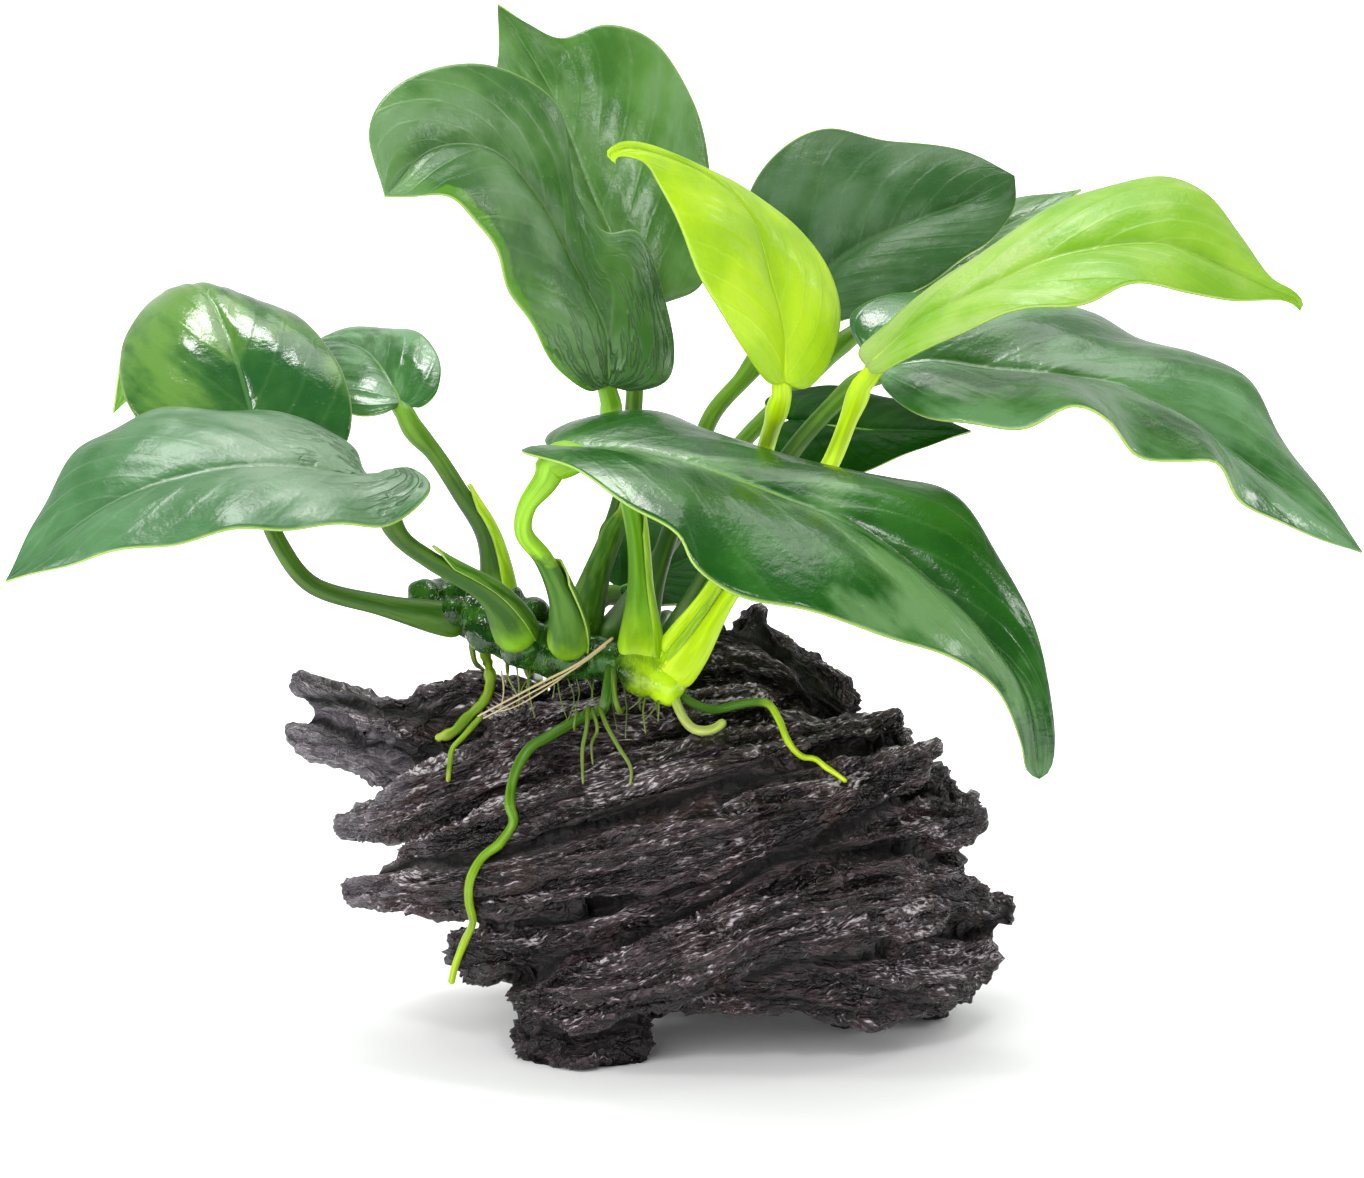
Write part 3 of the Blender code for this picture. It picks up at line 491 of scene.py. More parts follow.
# %% Leaves and stalks, in millimetres
LEAVES = {
    "front_left": {
        "midrib": [(-39, -12, 75.5), (-48, -15, 78), (-58.5, -19, 78.5), (-70, -24, 75.5),
                   (-83.5, -30, 66.5)],
        "left": [(-34.5, -14, 78), (-31.5, -20, 76), (-37, -26, 73), (-47, -31, 73.5), (-57, -34, 73),
                 (-70, -35, 71)],
        "right": [(-41, -7, 76), (-42.5, -2, 78.5), (-47.5, 2, 81), (-55.5, 2, 82), (-64.5, -2, 83),
                  (-75.5, -12, 80.5)],
        "stalk": [(-38.5, -13, 75), (-36, -13, 69), (-32, -12, 65.5), (-24.5, -10, 60.5),
                  (-20.5, -4.5, 53)],
        "waves": (0.5, 5, 1.0), "foot": 2.9, "look": "pale",
    },
    "far_left": {
        "midrib": [(-54.5, 2, 76.5), (-56.5, 6, 83), (-59.5, 12, 90.5), (-64.5, 22, 96), (-72.5, 36, 87.5),
                   (-78.5, 42, 75)],
        "left": [(-58.5, -2, 74.5), (-66, -1, 77), (-72, 4, 83), (-73.5, 13, 89), (-71, 24, 93),
                 (-76, 36, 85)],
        "right": [(-49.5, 0, 75), (-44.5, 2, 76.5), (-43, 5, 80.5), (-45, 11, 87), (-53.5, 24, 92),
                  (-65, 38, 87.5)],
        "stalk": [(-54.5, 1, 76), (-54, -1, 70.5), (-52, -2, 65.5), (-48, -3, 60.5), (-39, -2, 57.5),
                  (-30.5, 1, 55), (-28, 2, 54.6)],
        "waves": (0.35, 3, 0.5), "foot": 2.2, "look": "wet",
    },
    "small_left": {
        "midrib": [(-37, 13, 81.5), (-39.5, 18, 85), (-43, 25, 87), (-49, 32, 86.5), (-53.5, 38, 83)],
        "left": [(-39, 11, 80.5), (-42.5, 11, 80), (-47, 14, 81.5), (-50, 22, 83.5), (-52.5, 30, 84)],
        "right": [(-34.5, 12, 81), (-32.5, 13, 82.5), (-32, 17, 86), (-34.5, 23, 88.5), (-39.5, 29, 89),
                  (-46.5, 34, 87.5)],
        "stalk": [(-36.8, 12.5, 81), (-35.5, 11.5, 78.5), (-32.5, 11, 75), (-29, 9, 70), (-25.5, 7, 64.5),
                  (-23.5, 3, 54)],
        "waves": (0.3, 3, 0.4), "foot": 2.4, "look": "greyed",
    },
    "tall_centre": {
        "midrib": [(-9.5, 1, 86), (-10, 3, 93), (-14, 4, 101.5), (-18, 3, 109.5), (-24, -1, 116.5),
                   (-31.5, -9, 117.5), (-37, -16, 112.5)],
        "left": [(-12, -1, 85.5), (-15.5, -4, 88.5), (-21, -8, 98.5), (-25, -12, 108), (-29, -14, 112),
                 (-34, -16, 112.5)],
        "right": [(-6.5, 2, 85), (-2, 4, 86), (-1, 7, 90), (-3, 9, 98), (-6, 10, 104.5), (-10, 7, 105),
                  (-14, 8, 111), (-16.5, 7, 121.5), (-24.5, 3, 127), (-35.5, -6, 125.5), (-39, -13, 120.5)],
        "stalk": [(-9.2, 1, 85.5), (-9, 4, 79.5), (-7.5, 4, 73), (-6, 2, 65.5), (-5.5, -3.5, 58),
                  (-5.3, -9, 50)],
        "waves": (0.4, 4, 0.5), "foot": 3.0, "look": "curled",
    },
    "tall_back": {
        "midrib": [(-5.5, 11, 94), (-8.5, 14, 101.5), (-12, 17, 109.5), (-17, 20, 121.5), (-22, 19, 130),
                   (-24, 17, 133.5)],
        "left": [(-8.5, 9, 92), (-14, 11, 95), (-20, 15, 103.5), (-24, 19, 113), (-25, 21, 120.5),
                 (-24, 20, 127)],
        "right": [(-2, 13, 95), (2.5, 15, 97), (3.5, 19, 105), (3.5, 22, 112), (1.5, 25, 119.5),
                  (-3.5, 27, 127.5), (-10, 25, 130), (-16, 22, 128.5), (-20.5, 19, 131)],
        "stalk": [(-5.5, 11, 93.5), (-6, 11, 87.5), (-6.5, 10, 79.5), (-8, 8, 69.5), (-11.5, 4, 60),
                  (-14, -1.5, 52)],
        "waves": (0.4, 4, 0.5), "foot": 2.6, "look": "fresh",
    },
    "young_centre": {
        "midrib": [(13, -12, 88.5), (13, -11, 94.5), (11.5, -10, 101), (9, -10, 109), (3, -13, 115),
                   (-4, -17, 118.2), (-7.5, -19.6, 118.9), (-8.9, -20.4, 118.1), (-8.1, -20.4, 117.2)],
        "left": [(11, -13, 88.5), (8, -16, 93), (3.5, -19, 100.5), (0, -20, 108.5), (-2.8, -19.2, 114.6),
                 (-4.4, -19.8, 117.2), (-7.3, -20.2, 118), (-8.2, -20.6, 117.8)],
        "right": [(15.5, -11, 87.5), (18.5, -8, 90), (20, -4, 95.5), (18.5, -2, 101.5), (15, -2, 106.5),
                  (8.5, -5, 111.5), (1, -12, 116.5), (-4.5, -16.5, 119), (-8, -19.6, 119.5),
                  (-9.4, -20.3, 118.4)],
        "stalk": [(13, -12, 88), (12, -9, 84), (10.5, -1, 77), (8.5, -0.5, 69), (5, -3.5, 61),
                  (-2.2, -8, 51)],
        "waves": (0.25, 3, 0.3), "foot": 2.1, "look": "lime",
    },
    "back_right": {
        "midrib": [(12, 22, 88.5), (17.5, 23, 95.5), (23, 25, 100), (30.5, 27, 103.5), (38, 29, 106),
                   (44.5, 29, 109.5)],
        "left": [(9.5, 23, 91), (7.5, 27, 98.5), (9.5, 32, 108), (14, 35, 112.5), (20, 37, 115),
                 (28, 37, 113), (37, 35, 112.5)],
        "right": [(15, 20, 88), (20.5, 17.5, 91.5), (26.5, 17.5, 93.5), (35, 20, 98), (41, 24, 101.5),
                  (44.5, 28, 105.5)],
        "stalk": [(11.5, 21.5, 88), (8.5, 20, 84), (4, 18, 79), (1, 14, 71), (-3, 7, 61), (-6.4, -2.3, 51)],
        "waves": (0.4, 4, 0.5), "foot": 2.4, "look": "dusky",
    },
    "young_right": {
        "midrib": [(23.5, -9, 90), (29.5, -9, 95.5), (38.5, -9, 100), (47.5, -9, 104), (60.5, -9, 105.5),
                   (70, -10, 101.8), (75.2, -11, 99.6), (77.4, -11, 99), (77.9, -11, 97.4)],
        "left": [(22.5, -7, 91.5), (26, -4, 94.5), (33, -1, 99.5), (42, 2, 105), (51, 4, 110),
                 (61, 4, 112.5), (67, 1, 110.5), (71, -3, 106), (74.5, -9, 101), (77.2, -10.8, 99.7),
                 (78.3, -11, 98.4)],
        "right": [(24.5, -12, 89.5), (28, -14, 91.5), (34.5, -17, 95.5), (43, -20, 99), (50, -21, 100),
                  (56, -20, 102), (63, -18, 101), (69.5, -15, 99.2), (75.2, -11.8, 98.9),
                  (76.9, -11.2, 98.3)],
        "stalk": [(23.5, -9, 89.5), (21.5, -7, 83.5), (18.5, -4, 75.5), (12.4, -5, 67.8), (6.2, -6.7, 60.3),
                  (1.4, -9.6, 53.2), (-2.1, -10.5, 48.9)],
        "waves": (0.3, 4, 0.3), "foot": 2.4, "look": "pale_lime",
    },
    "wide_right": {
        "midrib": [(25.5, 2, 88), (32, 1, 89), (41, -1, 88), (49.5, -3, 87.5), (56.5, -4, 86.5),
                   (64.5, -6, 82.5), (72, -8, 77.5), (79.5, -10, 72), (86.5, -12, 66.5)],
        "left": [(23, 5, 90.5), (22, 8.5, 93.5), (27.5, 12, 96), (37.5, 15.5, 96), (48, 17, 95),
                 (54, 17, 93), (59.5, 13, 89.5), (67, 9, 89), (73, 5, 86), (77, 0, 80), (82, -6, 73)],
        "right": [(26, -3, 86), (29, -9, 84.5), (35.5, -15, 83.5), (42.5, -19, 84), (48.5, -21, 86.5),
                  (53, -22, 85), (57, -21, 81), (62.5, -20, 79.5), (67, -19, 79), (70.5, -17, 74),
                  (76, -15, 70.5)],
        "stalk": [(25, 2, 87.5), (21, 2, 84.5), (14.5, 3.5, 77), (9.6, 3.5, 69), (4.6, 0, 60),
                  (-1.2, -5.6, 50.4)],
        "waves": (0.5, 5, 0.6), "foot": 2.2, "look": "greyed",
    },
    "far_back": {
        "midrib": [(25, 34, 89.5), (33.5, 37, 95.5), (43.5, 40, 101), (54.5, 42, 106)],
        "left": [(22.5, 37, 91.5), (25, 44, 97.5), (34, 48, 102), (45, 48, 103.5)],
        "right": [(28.5, 31, 89), (35.5, 30, 92), (43.5, 33, 98.5), (50, 38, 103)],
        "stalk": [(24.5, 33.5, 89), (17.5, 30, 82.5), (8.5, 25, 74.5), (0, 17, 64.5), (-6.5, 7, 56),
                  (-10.4, -1.7, 51)],
        "waves": (0.4, 3, 0.5), "foot": 2.4, "look": "fresh",
    },
    "under_right": {
        "midrib": [(14.5, 14, 79), (21, 13, 78.5), (28.5, 12, 78), (38, 11, 78)],
        "left": [(11, 16, 80.5), (13.5, 21, 81.5), (21, 24, 81.5), (29.5, 20, 80.5)],
        "right": [(10.5, 12, 77), (12, 9.5, 75), (18, 7.5, 73), (25, 8, 73.5), (31, 9, 76)],
        "stalk": [(14, 14, 78.5), (10.5, 12, 71.5), (5.5, 9, 63), (1, 3.5, 56), (-2.4, -3.8, 50)],
        "waves": (0.4, 3, 0.5), "foot": 2.2, "look": "shade",
    },
    "front": {
        "midrib": [(-16, -17, 80.5), (-8, -19, 81), (2.5, -22, 79.5), (13.5, -25, 76), (22, -27, 72.5),
                   (30, -29, 67), (38, -31, 59.5), (43, -32, 52), (44.3, -32.4, 42)],
        "left": [(-17.2, -13.5, 80.9), (-16.5, -9, 81.6), (-13.8, -4, 82.3), (-8.5, 0, 82.4), (-2, 1, 81.9),
                 (5, -1, 79.5), (15, -7, 77), (27, -13, 76.5), (34.5, -18, 74.5), (39.5, -23, 68.5),
                 (44, -28, 58.5), (46.2, -31, 48), (45.6, -32, 43)],
        "right": [(-19.6, -18.5, 81), (-19.9, -21.3, 81.3), (-17.2, -25, 81), (-13, -29, 80),
                  (-6.5, -36, 77.5), (-0.5, -40, 74), (1.5, -42, 71), (7, -43, 68), (15.5, -44, 65.5),
                  (24, -43, 63), (32.5, -40, 59), (39, -36, 54), (41.8, -34, 47), (42.8, -33, 43)],
        "stalk": [(-16, -17, 80), (-17, -17, 77), (-19.5, -17, 73.5), (-20, -16, 70), (-17.5, -14, 66),
                  (-15, -11, 59), (-14.5, -7, 52)],
        "collar": 1.5, "waves": (0.5, 5, 0.7), "foot": 2.6, "look": "deep",
    },
    "low_back": {
        "midrib": [(-8.5, 13, 56.5), (-3.5, 19, 57.5), (1.5, 27, 58), (7.5, 38, 57)],
        "left": [(-10.5, 15, 58), (-11, 21, 63), (-7.5, 27, 64), (-1.5, 34, 61.5)],
        "right": [(-6, 10, 55), (-2.5, 11, 54.5), (2.5, 17, 54), (6, 28, 55)],
        "stalk": [(-9, 12.5, 56.5), (-12.5, 9, 55), (-16.5, 4, 53.5), (-18, -0.5, 51.5)],
        "waves": (0.3, 3, 0.4), "foot": 1.8, "look": "shade",
    },
}
YOUNG_LEAVES = ("young_centre", "young_right")
print(len(LEAVES), "leaves,", len(YOUNG_LEAVES), "of them young")

# %% [markdown]
# ## Leaf blades
# A blade is thin and stiff. Its midrib is sunken on top, both halves arch up beside it, side veins ripple
# it, and the margin waves. Each of these is a small lift along the surface's own upward direction. Solidify
# then gives the sheet its thickness. It spreads its upper side, lower side and rim over the piece's
# material slots, so the slots are made empty before it and filled at the end, and the lower side gets its
# own, paler finish.

# %% Make the blades
BLADE_THICKNESS = 0.36
BLADE_ROWS = 110
BLADE_COLUMNS = 48
BLADE_ROW_POWER = 1.25
MIDRIB_LAG = 1.5
BLADE_BULGE = 0.09
GROOVE_DEPTH = 0.35
GROOVE_WIDTH = 0.7
SIDE_VEINS = 9
VEIN_SLANT = 0.3
VEIN_RIPPLE = 0.06
BLADE_STATIONS = 160
WAVE_STARTS = (1.3, 3.1)
SWELL_LIFT = 0.9
CREASE_LIFT = 0.35


def blade_lines(leaf):
    """The stations from notch to tip, the three lines there, and the way up."""
    notch, tip = leaf["midrib"][0], leaf["midrib"][-1]
    t = np.linspace(0, 1, BLADE_STATIONS)
    midrib = at(smooth_line(leaf["midrib"]), t**MIDRIB_LAG)
    left, right = (at(smooth_line([notch, *leaf[side], tip]), t) for side in ("left", "right"))
    upward = np.cross(np.gradient(midrib, axis=0), left - right)
    # The margins meet at both ends, so the way up there is taken from a little further in.
    upward[:6] = upward[6]
    upward[-4:] = upward[-5]
    return t, midrib, left, right, unit(upward)


def blade_surface(leaf, seed):
    """Where a point of the blade lies: between the midrib and a margin, and lifted off that sheet."""
    t_grid, *tables = blade_lines(leaf)
    wave, waves, wrinkle = leaf["waves"]

    def surface(u, v):
        t = v**BLADE_ROW_POWER
        side = 2 * u - 1
        share = np.abs(side)
        midrib, left, right, up = sampled(t, t_grid, *tables)
        margin = np.where(side[:, None] < 0, left, right)
        width = np.linalg.norm(margin - midrib, axis=1)
        body = np.clip(np.sin(np.pi * np.clip(t, 0, 1)), 0, 1) ** 0.7
        lift = BLADE_BULGE * 4 * share * (1 - share) * width
        lift = lift - GROOVE_DEPTH * np.exp(-(share * width / GROOVE_WIDTH) ** 2) * body
        phase = 2 * np.pi * waves * t + np.where(side < 0, *WAVE_STARTS) + seed
        lift = lift + wave * share**3 * np.sin(phase) * body
        vein = np.cos(2 * np.pi * SIDE_VEINS * (t**MIDRIB_LAG - VEIN_SLANT * share))
        lift = lift + VEIN_RIPPLE * vein * np.sin(np.pi * share) * body
        swell = smooth_noise(np.stack((t * 3, side * 1.1, np.full_like(t, seed * 7)), axis=1))
        crease = smooth_noise(np.stack((t * 5, side * 5 + t * 6, np.full_like(t, seed * 3)), axis=1))
        lift = lift + wrinkle * body * (SWELL_LIFT * swell + CREASE_LIFT * crease * (1 - share**4))
        return midrib + (margin - midrib) * share[:, None] + up * lift[:, None]

    return surface


def blade(leaf_name, leaf, seed):
    surface = blade_surface(leaf, seed)
    piece = sheet("blade_" + leaf_name, BLADE_ROWS, BLADE_COLUMNS, surface, closed=False)
    normals = np.empty(len(piece.data.polygons) * 3)
    piece.data.polygons.foreach_get("normal", normals)
    wanted = np.mean(blade_lines(leaf)[4], axis=0)
    if normals.reshape(-1, 3).mean(0).dot(wanted) < 0:
        piece.data.flip_normals()
    empty_slots(piece, 3)
    apply_modifier(piece, "SOLIDIFY", thickness=BLADE_THICKNESS * MM, offset=0, use_even_offset=False,
                   material_offset=1, material_offset_rim=2)
    return piece


blades = {leaf_name: blade(leaf_name, leaf, number + 1)
          for number, (leaf_name, leaf) in enumerate(LEAVES.items())}
print("a blade has", len(blades["front"].data.polygons), "faces")

# %% [markdown]
# ## Stalks
# A leaf's stalk runs on under the blade as its midrib, swells a little just below the blade, and ends in a
# stout foot on the creeping stem. One tapering tube makes all of it.

# %% Make the stalks
STALK_RADIUS = 1.15
FOOT_MIDDLE = 1.6
FOOT_FADE = 7.5
MIDRIB_REACH = 0.7
MIDRIB_TIP_RADIUS = 0.25
MIDRIB_RADIUS = 0.9
STALK_THICKENING = 0.25
KNEE_BELOW = 5
KNEE_SIZE = 0.32
USUAL_COLLAR = 0.3
COLLAR_FADE = 3


def foot_swelling(leaf, share, length):
    """How much thicker a stalk gets towards its foot."""
    above_foot = np.maximum((1 - share) * length - FOOT_MIDDLE, 0)
    return (leaf["foot"] - STALK_RADIUS) * np.exp(-(above_foot / FOOT_FADE) ** 2)


def stalk_line(leaf):
    """From under the blade, along the midrib to the notch, and down the stalk to its foot."""
    _, midrib, _, _, upward = blade_lines(leaf)
    reach = np.linspace(MIDRIB_REACH, 0.06, 9)
    spots = (reach * (len(midrib) - 1)).astype(int)
    below = (GROOVE_DEPTH + BLADE_THICKNESS / 2) + (1 - reach / MIDRIB_REACH) * 0.6
    under = midrib[spots] - upward[spots] * below[:, None]
    line = np.vstack((smooth_line(under), smooth_line(leaf["stalk"])[6:]))
    return line, lengths_along(smooth_line(under))[-1] / lengths_along(line)[-1]


def stalk(leaf_name, leaf):
    line, joint = stalk_line(leaf)
    length = lengths_along(line)[-1]

    def radius(share):
        rib = MIDRIB_TIP_RADIUS + (MIDRIB_RADIUS - MIDRIB_TIP_RADIUS) * np.clip(share / joint, 0, 1)
        below = np.clip((share - joint) / (1 - joint), 0, 1)
        free = MIDRIB_RADIUS + (STALK_RADIUS - MIDRIB_RADIUS) * np.clip(below * 12, 0, 1)
        plain = np.where(share < joint, rib, free)
        below_blade = (share - joint) * length
        knee = KNEE_SIZE * np.exp(-(below_blade - KNEE_BELOW) ** 2 / 5)
        collar = leaf.get("collar", USUAL_COLLAR) * np.exp(-(below_blade / COLLAR_FADE) ** 2)
        return plain + (knee + collar) + foot_swelling(leaf, share, length) + STALK_THICKENING * below**2

    return tube("stalk_" + leaf_name, line, radius, sides=20, rows=int(length / 0.45))


stalks = {leaf_name: stalk(leaf_name, leaf) for leaf_name, leaf in LEAVES.items()}
print("a stalk has", len(stalks["front"].data.polygons), "faces")

# %% [markdown]
# ## Creeping stem
# The stem is a fat rod with rings where old leaves dropped off, and round knobs at its old end. A tube with
# a lumpy section makes the rod, and squashed spheres make the knobs.

# %% Make the creeping stem
RHIZOME = [(-34, 7, 57), (-31, 5.5, 56.5), (-27, 2.5, 55), (-22, -1, 52.8), (-16.5, -4, 51.2),
           (-9.5, -5.8, 50.8), (-4.8, -7.8, 50.4), (-2.2, -9.6, 49)]
RHIZOME_RADII = [2.6, 3.3, 3.4, 3.1, 3.0, 2.7, 2.4, 2.1]
KNOBS = [((-33, 3.5, 57), 3.0), ((-29.8, 1, 55.5), 2.6), ((-27.8, 4, 58), 2.4), ((-23.2, 4, 56.6), 2.5),
         ((-19.5, 2.5, 55.5), 2.2), ((-25.5, -1.5, 53.5), 2.6), ((-9, -7, 51), 2.6), ((-4.6, -9, 50.3), 2.2),
         ((-2.2, -10.6, 48.8), 2.3)]
COLLAR_SIZE = 1.14
COLLAR_SINK = 0.2
RINGS = 22
STEM_VOXEL = 0.3
STEM_SMOOTHINGS = 8
KNOB_SHAPE = (1.1, 0.95, 0.92)
KNOB_TILT = 0.5
KNOB_TURN = 1.1
KNOB_LUMP = 0.18
KNOB_LUMP_SCALE = 0.45


def rhizome_section(share, angle):
    ring = 0.07 * np.abs(np.sin(np.pi * RINGS * share)) ** 0.5
    lump = smooth_noise(np.stack((share * 14, np.cos(angle) * 1.4, np.sin(angle) * 1.4), axis=1))
    return 0.93 + ring + 0.13 * lump


def foot_collars():
    """A lump of stem around each stalk's foot, a little nearer the stem's middle than the foot's end."""
    stem = smooth_line(RHIZOME)
    lumps = []
    for leaf in LEAVES.values():
        end = np.array(leaf["stalk"][-1], float)
        middle = stem[np.argmin(np.linalg.norm(stem - end, axis=1))]
        lumps.append((tuple(end + (middle - end) * COLLAR_SINK), leaf["foot"] * COLLAR_SIZE))
    return lumps


parts = [tube("rhizome", smooth_line(RHIZOME), lambda share: between(RHIZOME_RADII, share), sides=32,
              rows=120, section=rhizome_section)]
for number, (spot, size) in enumerate(KNOBS + foot_collars()):
    deselect_all()
    bpy.ops.mesh.primitive_uv_sphere_add(segments=24, ring_count=16, radius=size * MM, location=metres(spot))
    knob = bpy.context.object
    knob.scale = KNOB_SHAPE
    knob.rotation_euler = (0, KNOB_TILT, number * KNOB_TURN)
    bpy.ops.object.transform_apply(location=True, rotation=True, scale=True)
    for vertex in knob.data.vertices:
        way = vertex.co - Vector(metres(spot))
        vertex.co += way * KNOB_LUMP * noise.noise(vertex.co / MM * KNOB_LUMP_SCALE)
    bpy.ops.object.shade_smooth()
    parts.append(knob)
rhizome = joined("creeping_stem", parts)
apply_modifier(rhizome, "REMESH", mode="VOXEL", voxel_size=STEM_VOXEL * MM)
apply_modifier(rhizome, "SMOOTH", factor=0.5, iterations=STEM_SMOOTHINGS)
bpy.ops.object.shade_smooth()
print("the stem has", len(KNOBS), "knobs")

# %% [markdown]
# ## Driftwood
# Weathered wood is a bundle of strands. Hard ones stand proud, soft ones have rotted out, and all run along
# the grain. The solids' strands, and some more between them, are made as fluted tubes, fused by the voxel
# remesh, and every point is moved in or out by noise that is long along the grain and short across it.

# %% The strands, in millimetres
BODY_STRANDS = [
    [((-30, 6, 24), 3.5), ((-20, 6, 24), 9), ((-5, 4, 24), 12), ((13, 4, 25), 13), ((27, 2, 24), 10),
     ((37, 0, 22), 4)],
    [((-18, 10, 38), 6), ((-5.5, 12, 42), 7.5), ((5, 14, 43.5), 7.5), ((14.5, 14, 41), 6.2),
     ((23, 12, 37.5), 3.6)],
    [((0, 13, 38.5), 6), ((6, 15, 45), 4.8), ((9, 16, 49.5), 3.6), ((10.4, 16, 54), 1.2)],
    [((9.8, 16, 52.5), 1.0), ((12, 15.5, 48), 3.4), ((16.5, 14.5, 43), 5), ((23, 12, 38), 4)],
    [((-46, 2, 26.5), 1.4), ((-38.5, -1, 29), 4.3), ((-27.5, -4, 34), 5.5), ((-16, -4, 38), 6.5),
     ((-0.5, -3, 39), 6.5), ((13, 0, 41.5), 5)],
    [((-36.5, -9, 25), 3), ((-26, -13, 28), 5), ((-10.5, -15, 33.5), 6), ((5, -14, 37.5), 6.2),
     ((19, -11, 40), 5), ((29.5, -8, 42.5), 2.8)],
    [((-44.5, -9, 20.5), 1.8), ((-37.5, -11, 21.5), 4.8), ((-26, -15, 23.5), 5.7), ((-10.5, -18, 27.5), 6),
     ((5, -18, 32), 6.2), ((21.5, -15, 36), 5.5), ((33.5, -12, 41.5), 1.5)],
    [((-30, -9, 12.5), 3.6), ((-21, -13, 14.5), 5.5), ((-10.5, -15, 18), 6), ((2.5, -16, 22.5), 6),
     ((15, -15, 27.5), 6.3), ((28, -12, 30), 5.2), ((40, -8, 30.5), 1.5)],
    [((-22, -15, 9), 2), ((-15, -18, 11), 4.5), ((-6, -20, 13), 5.3), ((2.5, -21, 16.5), 6),
     ((13.5, -20, 21), 7.3), ((25.5, -16, 22.5), 7), ((35, -10, 20.5), 4.2), ((41.5, -6, 17.5), 1.8)],
    [((-5.5, -14, 10.5), 4), ((5, -16, 12), 5), ((15, -16, 13), 6.5), ((25.5, -13, 12.5), 8),
     ((35, -8, 11), 5.5), ((41, -4, 12.5), 2.2)],
    [((-38, 17, 33), 2.5), ((-25, 21, 35), 5.5), ((-5, 23, 36), 7.5), ((15, 21, 36), 6.5),
     ((31, 14, 34), 2.5)],
    [((-36, 18, 21), 2), ((-22, 23, 23), 5.5), ((0, 26, 25), 7), ((20, 23, 26), 7), ((38, 14, 25), 2.5)],
    [((-27, 17, 10), 2.5), ((-12, 21, 12), 6), ((8, 24, 14), 7), ((25, 18, 13), 7), ((39, 8, 15), 2.5)],
    [((-20, 5, 15), 5), ((-5, 4, 13.5), 8), ((12, 4, 14), 8.5), ((27, 3, 15.5), 8), ((37, 2, 17), 4)],
    [((24, -8, 20), 7), ((33, -7, 18.5), 6), ((40, -4, 17), 3.6), ((43.5, -3, 16), 2)],
    [((22, -6, 33), 7), ((32, -5, 31), 6), ((38, -5, 28), 3.6)],
    [((-13, 17, 13), 5.5), ((-16, 19, 6), 5), ((-17.5, 20, 0), 4.4)],
    [((20, -1, 12), 6.5), ((22, 0, 5), 5), ((22.5, 0.5, 0), 4)],
    [((31, 2, 12), 5.5), ((33, 3, 5), 4), ((33.5, 3.5, 0), 3)],
    [((-20, 14, 31), 4), ((0, 15, 31.5), 6), ((18, 14, 31.5), 5), ((27, 11, 31), 2.5)],
    [((-18, 3, 36), 4), ((0, 4, 38.5), 5), ((14, 5, 38), 4), ((24, 4, 34), 3)],
]
FORK_STRANDS = [
    [((-52, 13, 44.5), 1.4), ((-47, 13, 41.5), 3.4), ((-37.5, 11, 38.8), 4), ((-28, 9, 40.5), 6),
     ((-18, 8, 39), 7)],
    [((-53, 12, 37.5), 1.4), ((-47, 11, 36.5), 4), ((-37.5, 10, 35.3), 5.2), ((-26.5, 8, 35), 6)],
    [((-49, 12, 40.5), 1.6), ((-45.5, 10.8, 39.6), 3.6), ((-38, 9, 37.6), 4.6), ((-29, 7.5, 37.6), 5.6)],
]
FOOT_STRANDS = [
    [((-22, -15, 3), 3), ((-15.5, -14.5, 4), 5.5), ((-8, -14, 4.5), 6), ((-4, -13, 4.5), 4.8)],
    [((-17, -14, 4), 4.5), ((-14, -14.5, 9), 4.5), ((-10, -15, 14), 4)],
    [((-20, -16.5, 6), 3.4), ((-14, -17.5, 9), 5), ((-8, -18.5, 12), 5.4), ((-1, -19, 14), 4.5)],
]
print(len(BODY_STRANDS), "strands in the body of the wood")

# %% Fuse the strands
STRAND_ROWS = 90
STRAND_SIDES = 48
WOOD_VOXEL = 0.44
SEED_STEP = 1.7
FEWEST_FLUTES = 5


def strand_section(seed, flutes):
    def section(share, angle):
        wander = 1.5 * smooth_noise(np.stack((share * 3, share * 0 + seed, share * 0), axis=1))
        ridge = np.abs(np.sin(flutes * (angle + wander) / 2 + seed))
        lump = smooth_noise(np.stack((share * 5 + seed, np.cos(angle), np.sin(angle)), axis=1))
        return 0.86 + 0.2 * ridge + 0.22 * lump
    return section


def fused_strands(name, strands, first_seed):
    tubes = []
    for number, strand in enumerate(strands):
        line = smooth_line([point for point, _ in strand])
        radii = [size for _, size in strand]
        section = strand_section(first_seed + number * SEED_STEP, FEWEST_FLUTES + number % 3)
        tubes.append(tube(name, line, lambda share, r=radii: between(r, share), sides=STRAND_SIDES,
                          rows=STRAND_ROWS, cap=0.5, section=section))
    piece = joined(name, tubes)
    apply_modifier(piece, "REMESH", mode="VOXEL", voxel_size=WOOD_VOXEL * MM)
    return piece


print("a strand has", STRAND_SIDES, "sides")

# %% Find the grain
STRAND_CENTRES = 70
STRAND_SHIFT = 61.0
POINTS_AT_ONCE = 4000


